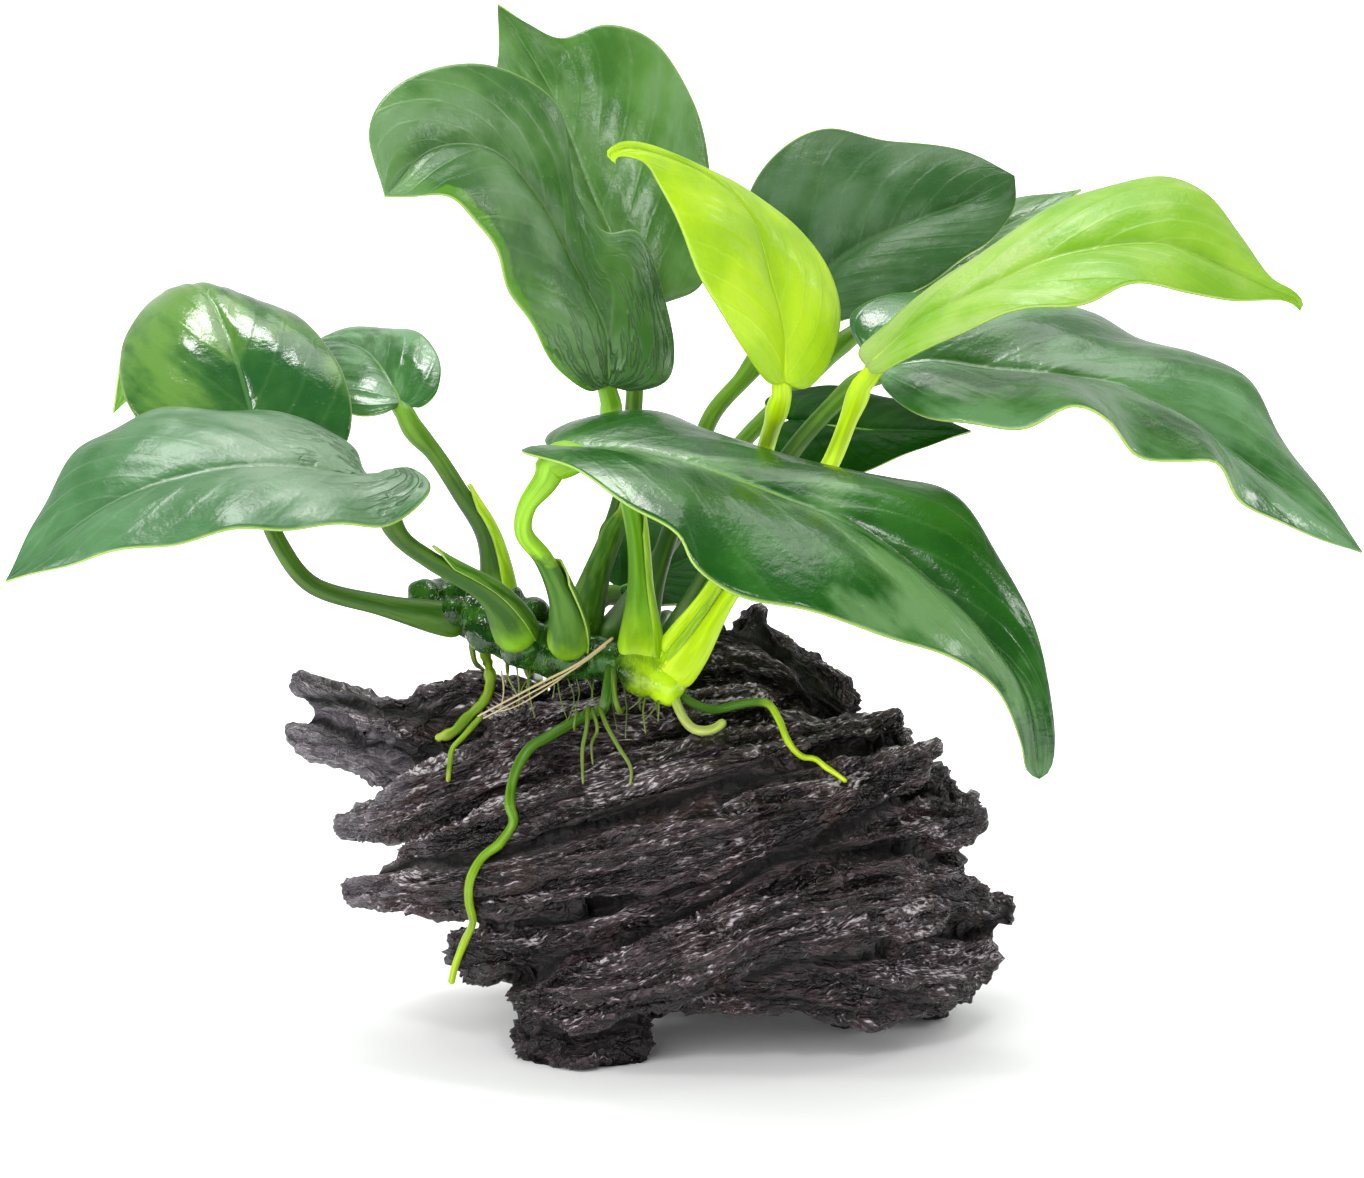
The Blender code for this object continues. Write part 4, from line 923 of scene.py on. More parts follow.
def grain_at(points, strands):
    """Each point's place along its strand and across it twice, the gap to the next strand, and the radius."""
    centres, headings, acrosses, ups, sizes, starts = [], [], [], [], [], []
    for number, strand in enumerate(strands):
        line = at(smooth_line([point for point, _ in strand]), np.linspace(0, 1, STRAND_CENTRES))
        across, up = frames(line)
        centres.append(line)
        headings.append(unit(np.gradient(line, axis=0)))
        acrosses.append(across)
        ups.append(up)
        sizes.append(between([size for _, size in strand], np.linspace(0, 1, STRAND_CENTRES)))
        starts.append(lengths_along(line) + number * STRAND_SHIFT)
    centres, headings, acrosses, ups = (np.vstack(rows) for rows in (centres, headings, acrosses, ups))
    sizes, starts = np.concatenate(sizes), np.concatenate(starts)
    found = np.empty((len(points), 5))
    for first in range(0, len(points), POINTS_AT_ONCE):
        some = points[first:first + POINTS_AT_ONCE]
        depth = np.linalg.norm(some[:, None] - centres[None], axis=2) - sizes
        best = np.argmin(depth, axis=1)
        offset = some - centres[best]
        nearest = np.sort(depth.reshape(len(some), len(strands), -1).min(axis=2), axis=1)
        found[first:first + POINTS_AT_ONCE] = np.stack((
            starts[best] + np.einsum("ij,ij->i", offset, headings[best]),
            np.einsum("ij,ij->i", offset, acrosses[best]),
            np.einsum("ij,ij->i", offset, ups[best]),
            nearest[:, 1] - nearest[:, 0],
            sizes[best]), axis=1)
    return found


print("the grain is read at", STRAND_CENTRES, "places on each strand")

# %% Weather the surface
SWELL = 1.2
SWELL_STRETCH = (0.05, 0.16, 0.16)
COARSE_RIDGE = 1.6
MIDDLE_RIDGE = 1.15
FINE_RIDGE = 0.55
RIDGE_LEVEL = 0.7
RIDGE_SHARPNESS = 2.4
GRAIN_STRETCH = 9.0
CRACK_DEPTH = 1.2
CRACK_CALM = 0.4
CRACK_WIDTH = 1.0
FULL_WEATHER_RADIUS = 4.0
THIN_WEATHER = 0.35
FLOOR_BAND = 0.4


def ridged(grain, fineness, seed):
    """Noise that stands up in sharp ridges along the grain, from 0 in the cracks to 1 on the ridges."""
    stretched = grain * (fineness / GRAIN_STRETCH, fineness, fineness) + (0, 0, seed)
    return 1 - np.minimum(np.abs(smooth_noise(stretched)) * RIDGE_SHARPNESS, 1)


def weather(piece, strands):
    """Moves the wood's surface in and out along its grain, and keeps the pattern for the finish."""
    mesh = piece.data
    count = len(mesh.vertices)
    flat = np.empty(count * 3)
    mesh.vertices.foreach_get("co", flat)
    points = flat.reshape(-1, 3) / MM + CENTRE
    normals = np.empty(count * 3)
    mesh.vertex_normals.foreach_get("vector", normals)
    normals = normals.reshape(-1, 3)
    found = grain_at(points, strands)
    grain = found[:, :3]
    crack = np.exp(-(found[:, 3] / CRACK_WIDTH) ** 2)
    swell = smooth_noise(grain * SWELL_STRETCH)
    coarse = ridged(grain + 1.5 * swell[:, None], 0.3, 3)
    middle = ridged(grain + 1.0 * swell[:, None], 0.7, 11)
    fine = ridged(grain, 1.7, 23)
    lift = SWELL * swell
    for height, ridge in ((COARSE_RIDGE, coarse), (MIDDLE_RIDGE, middle), (FINE_RIDGE, fine)):
        lift = lift + height * (ridge - RIDGE_LEVEL)
    lift = lift * (1 - CRACK_CALM * crack) - CRACK_DEPTH * crack
    lift = lift * np.clip(found[:, 4] / FULL_WEATHER_RADIUS, THIN_WEATHER, 1)
    moved = points + normals * lift[:, None]
    floor_level = points[:, 2] < FLOOR_BAND
    moved[floor_level, 2] = points[floor_level, 2]
    moved[:, 2] = np.maximum(moved[:, 2], 0)
    mesh.vertices.foreach_set("co", metres(moved).ravel())
    mesh.update()
    mesh.vertex_normals.foreach_get("vector", flat)
    height = 0.4 * coarse + 0.38 * middle + 0.22 * fine
    # sky is how far each point faces up, which the finish uses for painted light on upward faces.
    for pattern, values in (("ridge", height), ("crack", crack), ("sky", flat[2::3])):
        mesh.attributes.new(pattern, "FLOAT", "POINT").data.foreach_set("value", values)
    mesh.attributes.new("grain", "FLOAT_VECTOR", "POINT").data.foreach_set("vector", grain.ravel())


print("ridges stand up to", COARSE_RIDGE, "mm")

# %% Grow the wood
MOST_WOOD_FACES = 190000


def keep_largest(piece):
    """Drops the crumbs and bubbles that the voxel remesh leaves, and gives back what is left."""
    name = piece.name
    edit_all(piece, bpy.ops.mesh.separate, type="LOOSE")
    loose = list(bpy.context.selected_objects)
    largest = max(loose, key=lambda part: len(part.data.vertices))
    for part in loose:
        if part is not largest:
            bpy.data.objects.remove(part)
    largest.name = name
    return largest


WOOD_PARTS = {
    "driftwood_body": (BODY_STRANDS, 1.0),
    "driftwood_left_fork": (FORK_STRANDS, 31.0),
    "driftwood_front_foot": (FOOT_STRANDS, 47.0),
}
wood = {}
for node, (strands, first_seed) in WOOD_PARTS.items():
    piece = fused_strands("wood_" + node, strands, first_seed)
    edit_all(piece, bpy.ops.mesh.bisect, plane_co=(0, 0, 0), plane_no=(0, 0, 1), use_fill=True,
             clear_inner=True)
    piece = keep_largest(piece)
    weather(piece, strands)
    faces = 2 * len(piece.data.polygons)
    if faces > MOST_WOOD_FACES:
        apply_modifier(piece, "DECIMATE", ratio=MOST_WOOD_FACES / faces)
    activate(piece)
    bpy.ops.object.shade_smooth()
    wood[node] = piece
    print(node, "has", len(piece.data.polygons), "faces")

# %% [markdown]
# ## Roots
# Thick roots leave the stem and run down over the wood. A stop of two numbers is laid on the wood, across
# and up as seen from the root's side, and one of three numbers is in the air. A ray from far off on that
# side finds the wood's outermost surface. Under an overhang a root hangs free and falls inwards only a
# little. The line then settles: wherever it would lie inside that outermost surface, it is brought out.
# Side is 1 for the back.

# %% Lay the roots on the wood
FAR_OFF = 120
SETTLINGS = 10
ROOT_SINK = 0.25
INWARD_SLOPE = 0.5
LAY_STEP = 0.3
ROOTS = {
    "root_long_front": {
        "radius": 0.72, "tip": 0.48,
        "route": [(-9.2, -8, 52), (-9.5, -10.8, 49), (-9.9, -13, 46.6), (-11, 44.8), (-13.7, 43.8),
                  (-17.5, 42), (-19.5, 41), (-21.3, 38.3), (-22, 35), (-21.5, 32.5), (-23.2, 29.8),
                  (-25.7, 27.8), (-27, 25.5), (-27.2, 22.7), (-26.8, 19.4), (-28, -16, 16.2),
                  (-29.2, -16, 13), (-29.8, -16, 10.5)],
    },
    "root_left": {
        "radius": 0.68, "tip": 0.72, "lumps": 0.5, "knots": 0.7,
        "route": [(-26.3, 1.5, 52), (-25.3, 46), (-26, 43), (-28.5, 40.5), (-30, 39), (-32.3, 38)],
    },
    "root_left_branch": {
        "radius": 0.4, "tip": 0.3,
        "route": [(-26, 43), (-28.5, 40.5), (-29.8, 39.2), (-30.1, 37.4), (-30.3, 35.2)],
    },
    "root_right": {
        "radius": 0.58, "tip": 0.3,
        "route": [(-1.4, -9.6, 48.3), (1.2, -10.4, 46.5), (4, -10.5, 45.6), (8, -10.5, 46.4),
                  (10.9, -11, 46.6), (12.3, -12.5, 45), (13.6, -15.5, 42.6), (15.4, 40.8), (17, 40.6),
                  (19, 39.4), (21, 38)],
    },
    "root_short": {
        "radius": 0.62, "tip": 0.6,
        "route": [(-1.4, -11, 48.2), (-0.2, -12.9, 45.8), (0.6, -14, 44.7), (1.8, -15, 44),
                  (3.8, -15.3, 44.1), (5.6, -14.8, 45.2)],
    },
    "root_back_left": {
        "side": 1, "radius": 0.85, "tip": 0.5,
        "route": [(-21, 1.5, 52), (-21, 6, 49.8), (-21, 11, 48.8), (-20.7, 15.5, 45.8), (-20.4, 20, 43.2),
                  (-20, 24.5, 42), (-19.6, 28, 40.6), (-19, 36.5), (-20.5, 34), (-22, 31), (-21.5, 28),
                  (-19.8, 25.5), (-20.3, 23), (-21.3, 21)],
    },
    "root_back_right": {
        "side": 1, "radius": 0.8, "tip": 0.4,
        "route": [(-5, -3.5, 49), (-4.5, 0.5, 48), (-4, 5, 49.5), (-3.2, 9, 52), (-2.4, 13, 52.8),
                  (-1.4, 17, 51.6), (-0.4, 20.5, 48.4), (0.6, 24, 46), (1.4, 28, 44.6), (2, 40.5),
                  (3.5, 37.5), (4.8, 34), (4.5, 30.5), (3.5, 27.5), (4.5, 24.5), (7, 22), (8, 19), (7, 16)],
    },
}
HAIR_ROOTS = [
    {"radius": 0.3, "route": [(-12, -12, 46.5), (-12.2, -14.5, 44), (-12.7, 41.6), (-12.6, 37.4)]},
    {"radius": 0.26, "route": [(-11.6, -12, 46.3), (-10.8, -14.6, 44), (-11.6, 41.5), (-11.4, 39)]},
    {"radius": 0.34, "route": [(-10.6, -12, 46.5), (-9.6, -14.8, 44.5), (-8, 41.9), (-6.5, 39.6),
                               (-6.6, 37.5)]},
    {"radius": 0.22, "route": [(-13.4, -12, 46), (-13.8, -13.5, 44), (-13.4, 42.5)]},
    {"radius": 0.24, "route": [(-6, -11.5, 48), (-5.6, 46.1), (-5.4, 44)]},
    {"radius": 0.24, "route": [(-4.4, -12, 47.5), (-3.6, 45.6), (-3.1, 43.6)]},
    {"radius": 0.2, "route": [(-22.6, -1, 50), (-23.3, 46.6), (-23.6, 44.5)]},
    {"radius": 0.22, "route": [(-25.2, 0, 52), (-25.6, 48.4), (-24.8, 45.5)]},
    {"radius": 0.42, "route": [(-8.8, -9.5, 51), (-8.7, -11.8, 48.2), (-8.2, -13.2, 46.2), (-7.4, 44.6)]},
    {"radius": 0.4, "route": [(-27.6, 1, 53.5), (-27.3, -0.5, 50.5), (-26.3, 47.6)]},
]
HAIR_SEED = 11
STEM_HAIRS = 18
STEM_HAIR_FROM = 0.38
STEM_HAIR_TO = 0.96
print(len(ROOTS), "roots and", len(HAIR_ROOTS), "larger hair roots have a route")

# %% Draw the small hair roots


def stem_hairs():
    """Short hair roots that hang from the stem's underside on to the wood."""
    chance = np.random.default_rng(HAIR_SEED)
    stem = smooth_line(RHIZOME)
    hairs = []
    for share in np.linspace(STEM_HAIR_FROM, STEM_HAIR_TO, STEM_HAIRS):
        x, y, z = at(stem, share) + (0, -1.2, -1.8)
        lean, bend, drop = chance.normal(0, 1.0), chance.normal(0, 1.1), chance.uniform(3, 6.8)
        middle = (x + lean, y - 2.2 + chance.normal(0, 0.8), z - drop * 0.45)
        end = (x + lean + bend, y - 3.4 + chance.normal(0, 1.0), z - drop)
        hairs.append({"radius": chance.uniform(0.08, 0.16), "route": [(x, y, z), middle, end]})
    return hairs


all_hairs = HAIR_ROOTS + stem_hairs()
print(len(all_hairs), "hair roots in all")

# %% Settle the roots on the wood


def surface_of(pieces):
    """One search tree over the pieces' faces, in metres."""
    vertices, faces = [], []
    for piece in pieces:
        start = len(vertices)
        vertices += [v.co.copy() for v in piece.data.vertices]
        faces += [[start + i for i in polygon.vertices] for polygon in piece.data.polygons]
    return BVHTree.FromPolygons(vertices, faces)


def outermost(across, up, side, tree):
    """How far out the wood's surface is at this place, as seen from its side, or None beside the wood."""
    start = Vector(metres((across, FAR_OFF * side, up)))
    hit = tree.ray_cast(start, Vector((0, -side, 0)))[0]
    return None if hit is None else side * (hit.y / MM + CENTRE[1])


def laid(stop, side, tree):
    """Where the wood lies at this place as seen from its side, in millimetres."""
    across, up = stop
    out = outermost(across, up, side, tree)
    while out is None:
        up -= LAY_STEP
        out = outermost(across, up, side, tree)
    return np.array((across, side * out, up))


def hang_free(points, on_wood, side):
    """Under an overhang a laid root hangs free, so from stop to stop it falls inwards only a little."""
    for order in (range(1, len(points)), range(len(points) - 2, -1, -1)):
        for i in order:
            before = i - order.step
            if on_wood[i] and on_wood[before]:
                step = points[i] - points[before]
                least = side * points[before][1] - INWARD_SLOPE * math.hypot(step[0], step[2])
                points[i][1] = side * max(side * points[i][1], least)


def settled_line(spec, tree):
    side = spec.get("side", -1)
    stand_off = spec["radius"] - ROOT_SINK
    points = []
    for stop in spec["route"]:
        if len(stop) == 3:
            points.append(np.array(stop, float))
        else:
            points.append(laid(stop, side, tree) + np.array((0, side * stand_off, 0)))
    hang_free(points, [len(stop) == 2 for stop in spec["route"]], side)
    line = at(smooth_line(points), np.linspace(0, 1, 6 * len(points)))
    wood_under = [outermost(x, z, side, tree) for x, _, z in line]
    least = np.array([-FAR_OFF if out is None else out + stand_off for out in wood_under])
    out = side * line[:, 1]
    for _ in range(SETTLINGS):
        out = np.maximum(out, least)
        out[1:-1] = (out[:-2] + 2 * out[1:-1] + out[2:]) / 4
    line[:, 1] = side * np.maximum(out, least)
    return smooth_line(line, 4)


wood_surface = surface_of(wood.values())
print("the wood's surface can be searched")

# %% Make the roots
THICK_ROOT = 0.4


def root(name, spec, tree):
    line = settled_line(spec, tree)
    tip = spec.get("tip", spec["radius"] * 0.5)
    length = lengths_along(line)[-1]

    def radius(share):
        along = share * length * spec.get("knots", 0.35)
        lumps = smooth_noise(np.stack((along, share * 0 + spec["radius"] * 9, share * 0), axis=1))
        return (spec["radius"] + (tip - spec["radius"]) * share**2) * (1 + spec.get("lumps", 0.14) * lumps)

    return tube(name, line, radius, sides=14 if spec["radius"] > THICK_ROOT else 8)


roots = {name: root("fine_" + name, spec, wood_surface) for name, spec in ROOTS.items()}
hairs = joined("hair_roots", [root("hair", spec, wood_surface) for spec in all_hairs])
print(len(roots), "roots and", len(all_hairs), "hair roots")

# %% [markdown]
# ## Leaf sheaths and dry strands
# A young stalk grows out of the sheath of the one before it. The sheath stays as a thin green wing on the
# lower stalk. It is a strip that wraps part of the way round, with its top end free. Two dry strands lie
# across.

# %% Make the sheaths and the dry strands
SHEATHS = {
    "front_left": {"from": 0.36, "to": 0.95, "turn": 1.4, "wrap": 1.2},
    "small_left": {"from": 0.42, "to": 0.98, "turn": 1.75, "wrap": 0.95},
    "front": {"from": 0.55, "to": 0.97, "turn": 0.4, "wrap": 1.5},
    "tall_centre": {"from": 0.42, "to": 0.97, "turn": -0.3, "wrap": 1.1},
    "young_right": {"from": 0.66, "to": 0.97, "turn": -0.9, "wrap": 1.4},
    "young_centre": {"from": 0.55, "to": 0.97, "turn": 0.2, "wrap": 1.3},
    "tall_back": {"from": 0.55, "to": 0.97, "turn": 2.6, "wrap": 1.3},
}
SHEATH_THICKNESS = 0.3
SHEATH_GAP = 0.3
SHEATH_LIP = 0.3
SHEATH_ROWS = 40
SHEATH_COLUMNS = 16
DRY_TAPER = 0.4
LIME_SHEATHS = ("tall_centre", "young_right", "young_centre", "small_left")
DRY_STRANDS = [
    {"radius": 0.2, "line": [(-8.7, -14, 55.9), (-13, -14, 52.6), (-19, -13, 49.2), (-26.3, -11.5, 44.9)]},
    {"radius": 0.15, "line": [(-9.6, -14, 54.9), (-14, -14, 51.6), (-20, -13, 48), (-25.6, -11.5, 44.6)]},
    {"radius": 0.13, "line": [(-12, -13.5, 53.2), (-16.8, -13.5, 49.4), (-21.5, -12.5, 46.4),
                              (-24.2, -11.5, 45.4)]},
    {"radius": 0.13, "line": [(-23.2, -9.5, 50.6), (-22.9, -10, 48), (-23.4, -10.6, 45.2)]},
]


def sheath(leaf_name, spec):
    leaf = LEAVES[leaf_name]
    line = at(smooth_line(leaf["stalk"]), np.linspace(0, 1, 80))
    length = lengths_along(line)[-1]
    across, up = frames(line)

    def surface(u, v):
        share = spec["from"] + (spec["to"] - spec["from"]) * v
        grid = np.linspace(0, 1, len(line))
        size = STALK_RADIUS + STALK_THICKENING * share**2 + foot_swelling(leaf, share, length)
        size = size + SHEATH_GAP - (SHEATH_GAP + SHEATH_THICKNESS) * v**4 + SHEATH_LIP * (1 - v) ** 4
        angle = spec["turn"] + (u - 0.5) * 2 * spec["wrap"] * np.clip(v * 5, 0.3, 1) ** 0.7
        return round_about(*sampled(share, grid, line, across, up), angle, size)

    piece = sheet("sheath_" + leaf_name, SHEATH_ROWS, SHEATH_COLUMNS, surface, closed=False)
    empty_slots(piece, 2)
    apply_modifier(piece, "SOLIDIFY", thickness=SHEATH_THICKNESS * MM, offset=0, material_offset_rim=1)
    return piece


sheaths = {leaf_name: sheath(leaf_name, spec) for leaf_name, spec in SHEATHS.items()}
dry = joined("dry_strands", [
    tube("dry_strand", smooth_line(spec["line"]), lambda share, r=spec["radius"]: r * (1 - DRY_TAPER * share),
         sides=8)
    for spec in DRY_STRANDS])
print(len(sheaths), "sheaths and", len(DRY_STRANDS), "dry strands")

# %% [markdown]
# ## Leaf finishes
# A grown leaf is deep green and glossy. Its midrib and side veins are a little paler, and a thin yellow-
# green line runs round its margin. A pale painted sheen, standing in for the reflection of the white
# surroundings, lies on it in streaks along the side veins, and on some leaves the creases near the notch
# carry painted shade. The UV map says how far each point is from the midrib and from the notch, so the
# pattern follows the leaf. The underside is paler and duller.

# %% Pattern a leaf
COLOUR_LAG = 1.8
# How softly the edge of the painted sheen fades.
PAINTED_SHEEN_FADE = 0.16
CURLED_GREEN = (0.09, 0.26, 0.012, 1)
# Painted shade in the leaves' creases.
CREASE_SHADE_GREEN = (0.016, 0.06, 0.012, 1)


def painted_sheen_spot(finish, across, along, spot_across, spot_along, width, length, amount):
    """More painted sheen, or less, in a soft round spot of the leaf."""
    sideways = (across - spot_across) / width
    lengthways = (along - spot_along) / length
    return (1 - finish.step(sideways * sideways + lengthways * lengthways, 0.1, 1.0)) * amount


def painted_sheen_on(finish, look, across, along, streaks, patches):
    """Where the painted sheen lies: in streaks, thicker to one side or the base, and in the look's spots."""
    score = streaks * 0.6 + patches * 0.4 + (across - 0.5) * look["lean"] + (0.5 - along) * look["base"]
    for spot in look["spots"]:
        score = score + painted_sheen_spot(finish, across, along, *spot)
    return finish.step(score, look["bare"] - 0.05, look["bare"] + PAINTED_SHEEN_FADE) * 0.85


def leaf_finish(name, look, margin_colour):
    finish = Finish(name, coat_weight=look["coat"], coat_roughness=0.12, specular_ior_level=look["gloss"])
    across, along = finish.uv()
    share = abs(across - 0.5) * 2
    patches = finish.noise(finish.place(), 0.1, detail=4)
    drift = finish.noise(finish.place(), 0.35, detail=2)
    phase = (along**COLOUR_LAG - share * VEIN_SLANT + drift * 0.02) * SIDE_VEINS
    veins = 1 - finish.step(phase.maths("PINGPONG", 0.5) * 2, 0.0, 0.22)
    streak_place = finish.node("ShaderNodeCombineXYZ", None, {0: phase * 0.8, 1: share * 1.4, 2: across * 2})
    streaks = finish.noise(streak_place, 1, detail=4, roughness=0.6)
    # Painted sheen: pale streaks and spots that stand in for the reflection of the white surroundings.
    film = painted_sheen_on(finish, look, across, along, streaks, patches)
    # Crease lines near the notch: bumped in, and darkened with painted shade.
    crease_place = finish.node("ShaderNodeCombineXYZ", None, {0: across * 16, 1: along * 5, 2: drift})
    creases = finish.crests(finish.noise(crease_place, 1, detail=2), 0.06)
    creases = creases * (1 - finish.step(along, 0.25, 0.5)) * look["creased"]
    midrib = 1 - finish.step(share, 0.01, 0.035)
    margin = finish.step(share, 0.98, 0.995)
    curl_edge = across + (patches - 0.5) * 0.22 + (drift - 0.5) * 0.08
    curl_edge = curl_edge - (1 - finish.step(along, 0.0, 0.4)) * 0.06
    curled = 1 - finish.step(curl_edge, look["curled"] - 0.03, look["curled"])
    specks = finish.step(finish.noise(finish.place(), 1.3, detail=1), 0.74, 0.8)
    colour = finish.mix(finish.step(patches, 0.35, 0.68), look["dark"], look["light"])
    # The layers: painted sheen, paler veins and specks, painted shade in the creases, the midrib, the
    # curled-over underside and the margin.
    colour = finish.layered(
        colour, (film, look["film"]), ((veins * 0.12 + specks * 0.3) * (1 - share * 0.4), look["veins"]),
        (creases * 0.6, CREASE_SHADE_GREEN), (midrib * 0.45, look["veins"]), (curled * 0.7, CURLED_GREEN),
        (margin * 0.5, margin_colour))
    ripple = finish.noise(finish.place(), 0.7, detail=2)
    height = veins * 0.3 + finish.noise(finish.place(), 2.2, detail=3) * 0.35 + ripple * 1.2 - creases * 2.4
    finish.paint(base_color=colour, roughness=patches * 0.16 + look["roughness"],
                 normal=finish.bump(height, 0.12, 0.8))
    return finish.material


print("a leaf's pattern follows its", SIDE_VEINS, "side veins")

# %% Mix the leaf finishes


def leaf_look(dark, light, film, veins, **changes):
    """A leaf's four colours, the third its painted sheen, and how glossy, sheened and creased it is."""
    look = {"bare": 0.5, "lean": 0.0, "base": 0.0, "creased": 0.0, "curled": -0.3, "gloss": 0.5, "coat": 0.2,
            "roughness": 0.18, "spots": ()}
    look.update(changes)
    look.update({key: colour + (1,) for key, colour in
                 (("dark", dark), ("light", light), ("film", film), ("veins", veins))})
    return look


LIME_EDGE = (0.26, 0.42, 0.08, 1)
YOUNG_EDGE = (0.45, 0.62, 0.06, 1)
# In each look the third colour is its painted sheen, and the spots add painted sheen or take it away.
GROWN_LOOKS = {
    "deep": leaf_look((0.005, 0.06, 0.002), (0.016, 0.1, 0.006), (0.105, 0.22, 0.075), (0.1, 0.24, 0.06),
                      bare=0.49, coat=0.1, roughness=0.2, spots=(
                          (0.84, 0.53, 0.36, 0.18, -0.3), (0.24, 0.75, 0.36, 0.15, -0.22),
                          (0.15, 0.36, 0.33, 0.34, -0.24), (0.75, 0.81, 0.3, 0.13, 0.14),
                          (0.56, 0.42, 0.14, 0.3, 0.14), (0.95, 0.67, 0.12, 0.1, 0.2))),
    "wet": leaf_look((0.012, 0.07, 0.014), (0.04, 0.13, 0.022), (0.095, 0.205, 0.035), (0.1, 0.23, 0.07),
                     roughness=0.12, bare=0.5, spots=(
                         (0.5, 0.1, 0.7, 0.4, -0.14), (0.2, 0.65, 0.6, 0.5, 0.1))),
    "fresh": leaf_look((0.035, 0.125, 0.014), (0.075, 0.195, 0.03), (0.12, 0.23, 0.09), (0.17, 0.32, 0.11),
                       coat=0.06, roughness=0.25),
    "curled": leaf_look((0.028, 0.105, 0.016), (0.07, 0.18, 0.035), (0.11, 0.21, 0.09), (0.2, 0.34, 0.14),
                        creased=1.0, curled=0.05, coat=0.05, roughness=0.28),
    "greyed": leaf_look((0.018, 0.09, 0.014), (0.05, 0.16, 0.035), (0.115, 0.245, 0.11), (0.16, 0.3, 0.14),
                        lean=0.12, bare=0.48),
    "pale": leaf_look((0.03, 0.11, 0.03), (0.06, 0.165, 0.06), (0.14, 0.225, 0.135), (0.19, 0.28, 0.17),
                      base=0.1, bare=0.47, creased=1.0, coat=0.08, roughness=0.28, spots=(
                          (0.5, 0.85, 0.8, 0.3, -0.15), (0.6, 0.4, 0.4, 0.2, 0.12))),
    # The shade look is painted shade: a darker, duller copy for the leaves that lie in shadow.
    "shade": leaf_look((0.003, 0.035, 0.001), (0.008, 0.06, 0.002), (0.015, 0.075, 0.004), (0.03, 0.12, 0.01),
                       gloss=0.06, coat=0.0, roughness=0.4, bare=0.55),
    "dusky": leaf_look((0.022, 0.07, 0.018), (0.045, 0.1, 0.035), (0.062, 0.12, 0.058), (0.09, 0.17, 0.07),
                       gloss=0.1, coat=0.0, roughness=0.25),
}
YOUNG_LOOKS = {
    "lime": leaf_look((0.24, 0.43, 0.001), (0.34, 0.54, 0.003), (0.38, 0.56, 0.02), (0.46, 0.64, 0.04),
                      gloss=0.35, coat=0.05, roughness=0.32, bare=0.54),
    "pale_lime": leaf_look((0.13, 0.3, 0.004), (0.2, 0.37, 0.02), (0.25, 0.37, 0.09), (0.36, 0.5, 0.11),
                           gloss=0.35, coat=0.05, roughness=0.32, base=0.25, bare=0.48),
}
UNDER_LOOK = {"gloss": 0.4, "coat": 0.0, "roughness": 0.4}
leaf_tops = {}
for key, look in (GROWN_LOOKS | YOUNG_LOOKS).items():
    leaf_tops[key] = leaf_finish(key + "_leaf_top", look, look["veins"] if key in YOUNG_LOOKS else LIME_EDGE)
grown_under_look = leaf_look((0.08, 0.24, 0.015), (0.13, 0.32, 0.025), (0.15, 0.33, 0.05), (0.2, 0.38, 0.06),
                             **UNDER_LOOK)
young_under_look = leaf_look((0.28, 0.48, 0.02), (0.34, 0.52, 0.03), (0.36, 0.52, 0.06), (0.42, 0.6, 0.07),
                             **UNDER_LOOK)
grown_under = leaf_finish("grown_leaf_under", grown_under_look, LIME_EDGE)
young_under = leaf_finish("young_leaf_under", young_under_look, YOUNG_EDGE)
edge_finish = Finish("leaf_edge", roughness=0.4)
edge_patches = edge_finish.noise(edge_finish.place(), 0.3)
edge_finish.paint(base_color=edge_finish.mix(edge_patches, (0.2, 0.36, 0.04, 1), (0.36, 0.5, 0.1, 1)))
print("leaf finishes are ready")

# %% [markdown]
# ## Stalk, stem and root finishes
# Stalks are dark green on top and turn lime towards the foot. Roots start dark green and end in a pale,
# soft tip. Both run along the UV map's second direction, so one recipe with different stops serves them
# all.

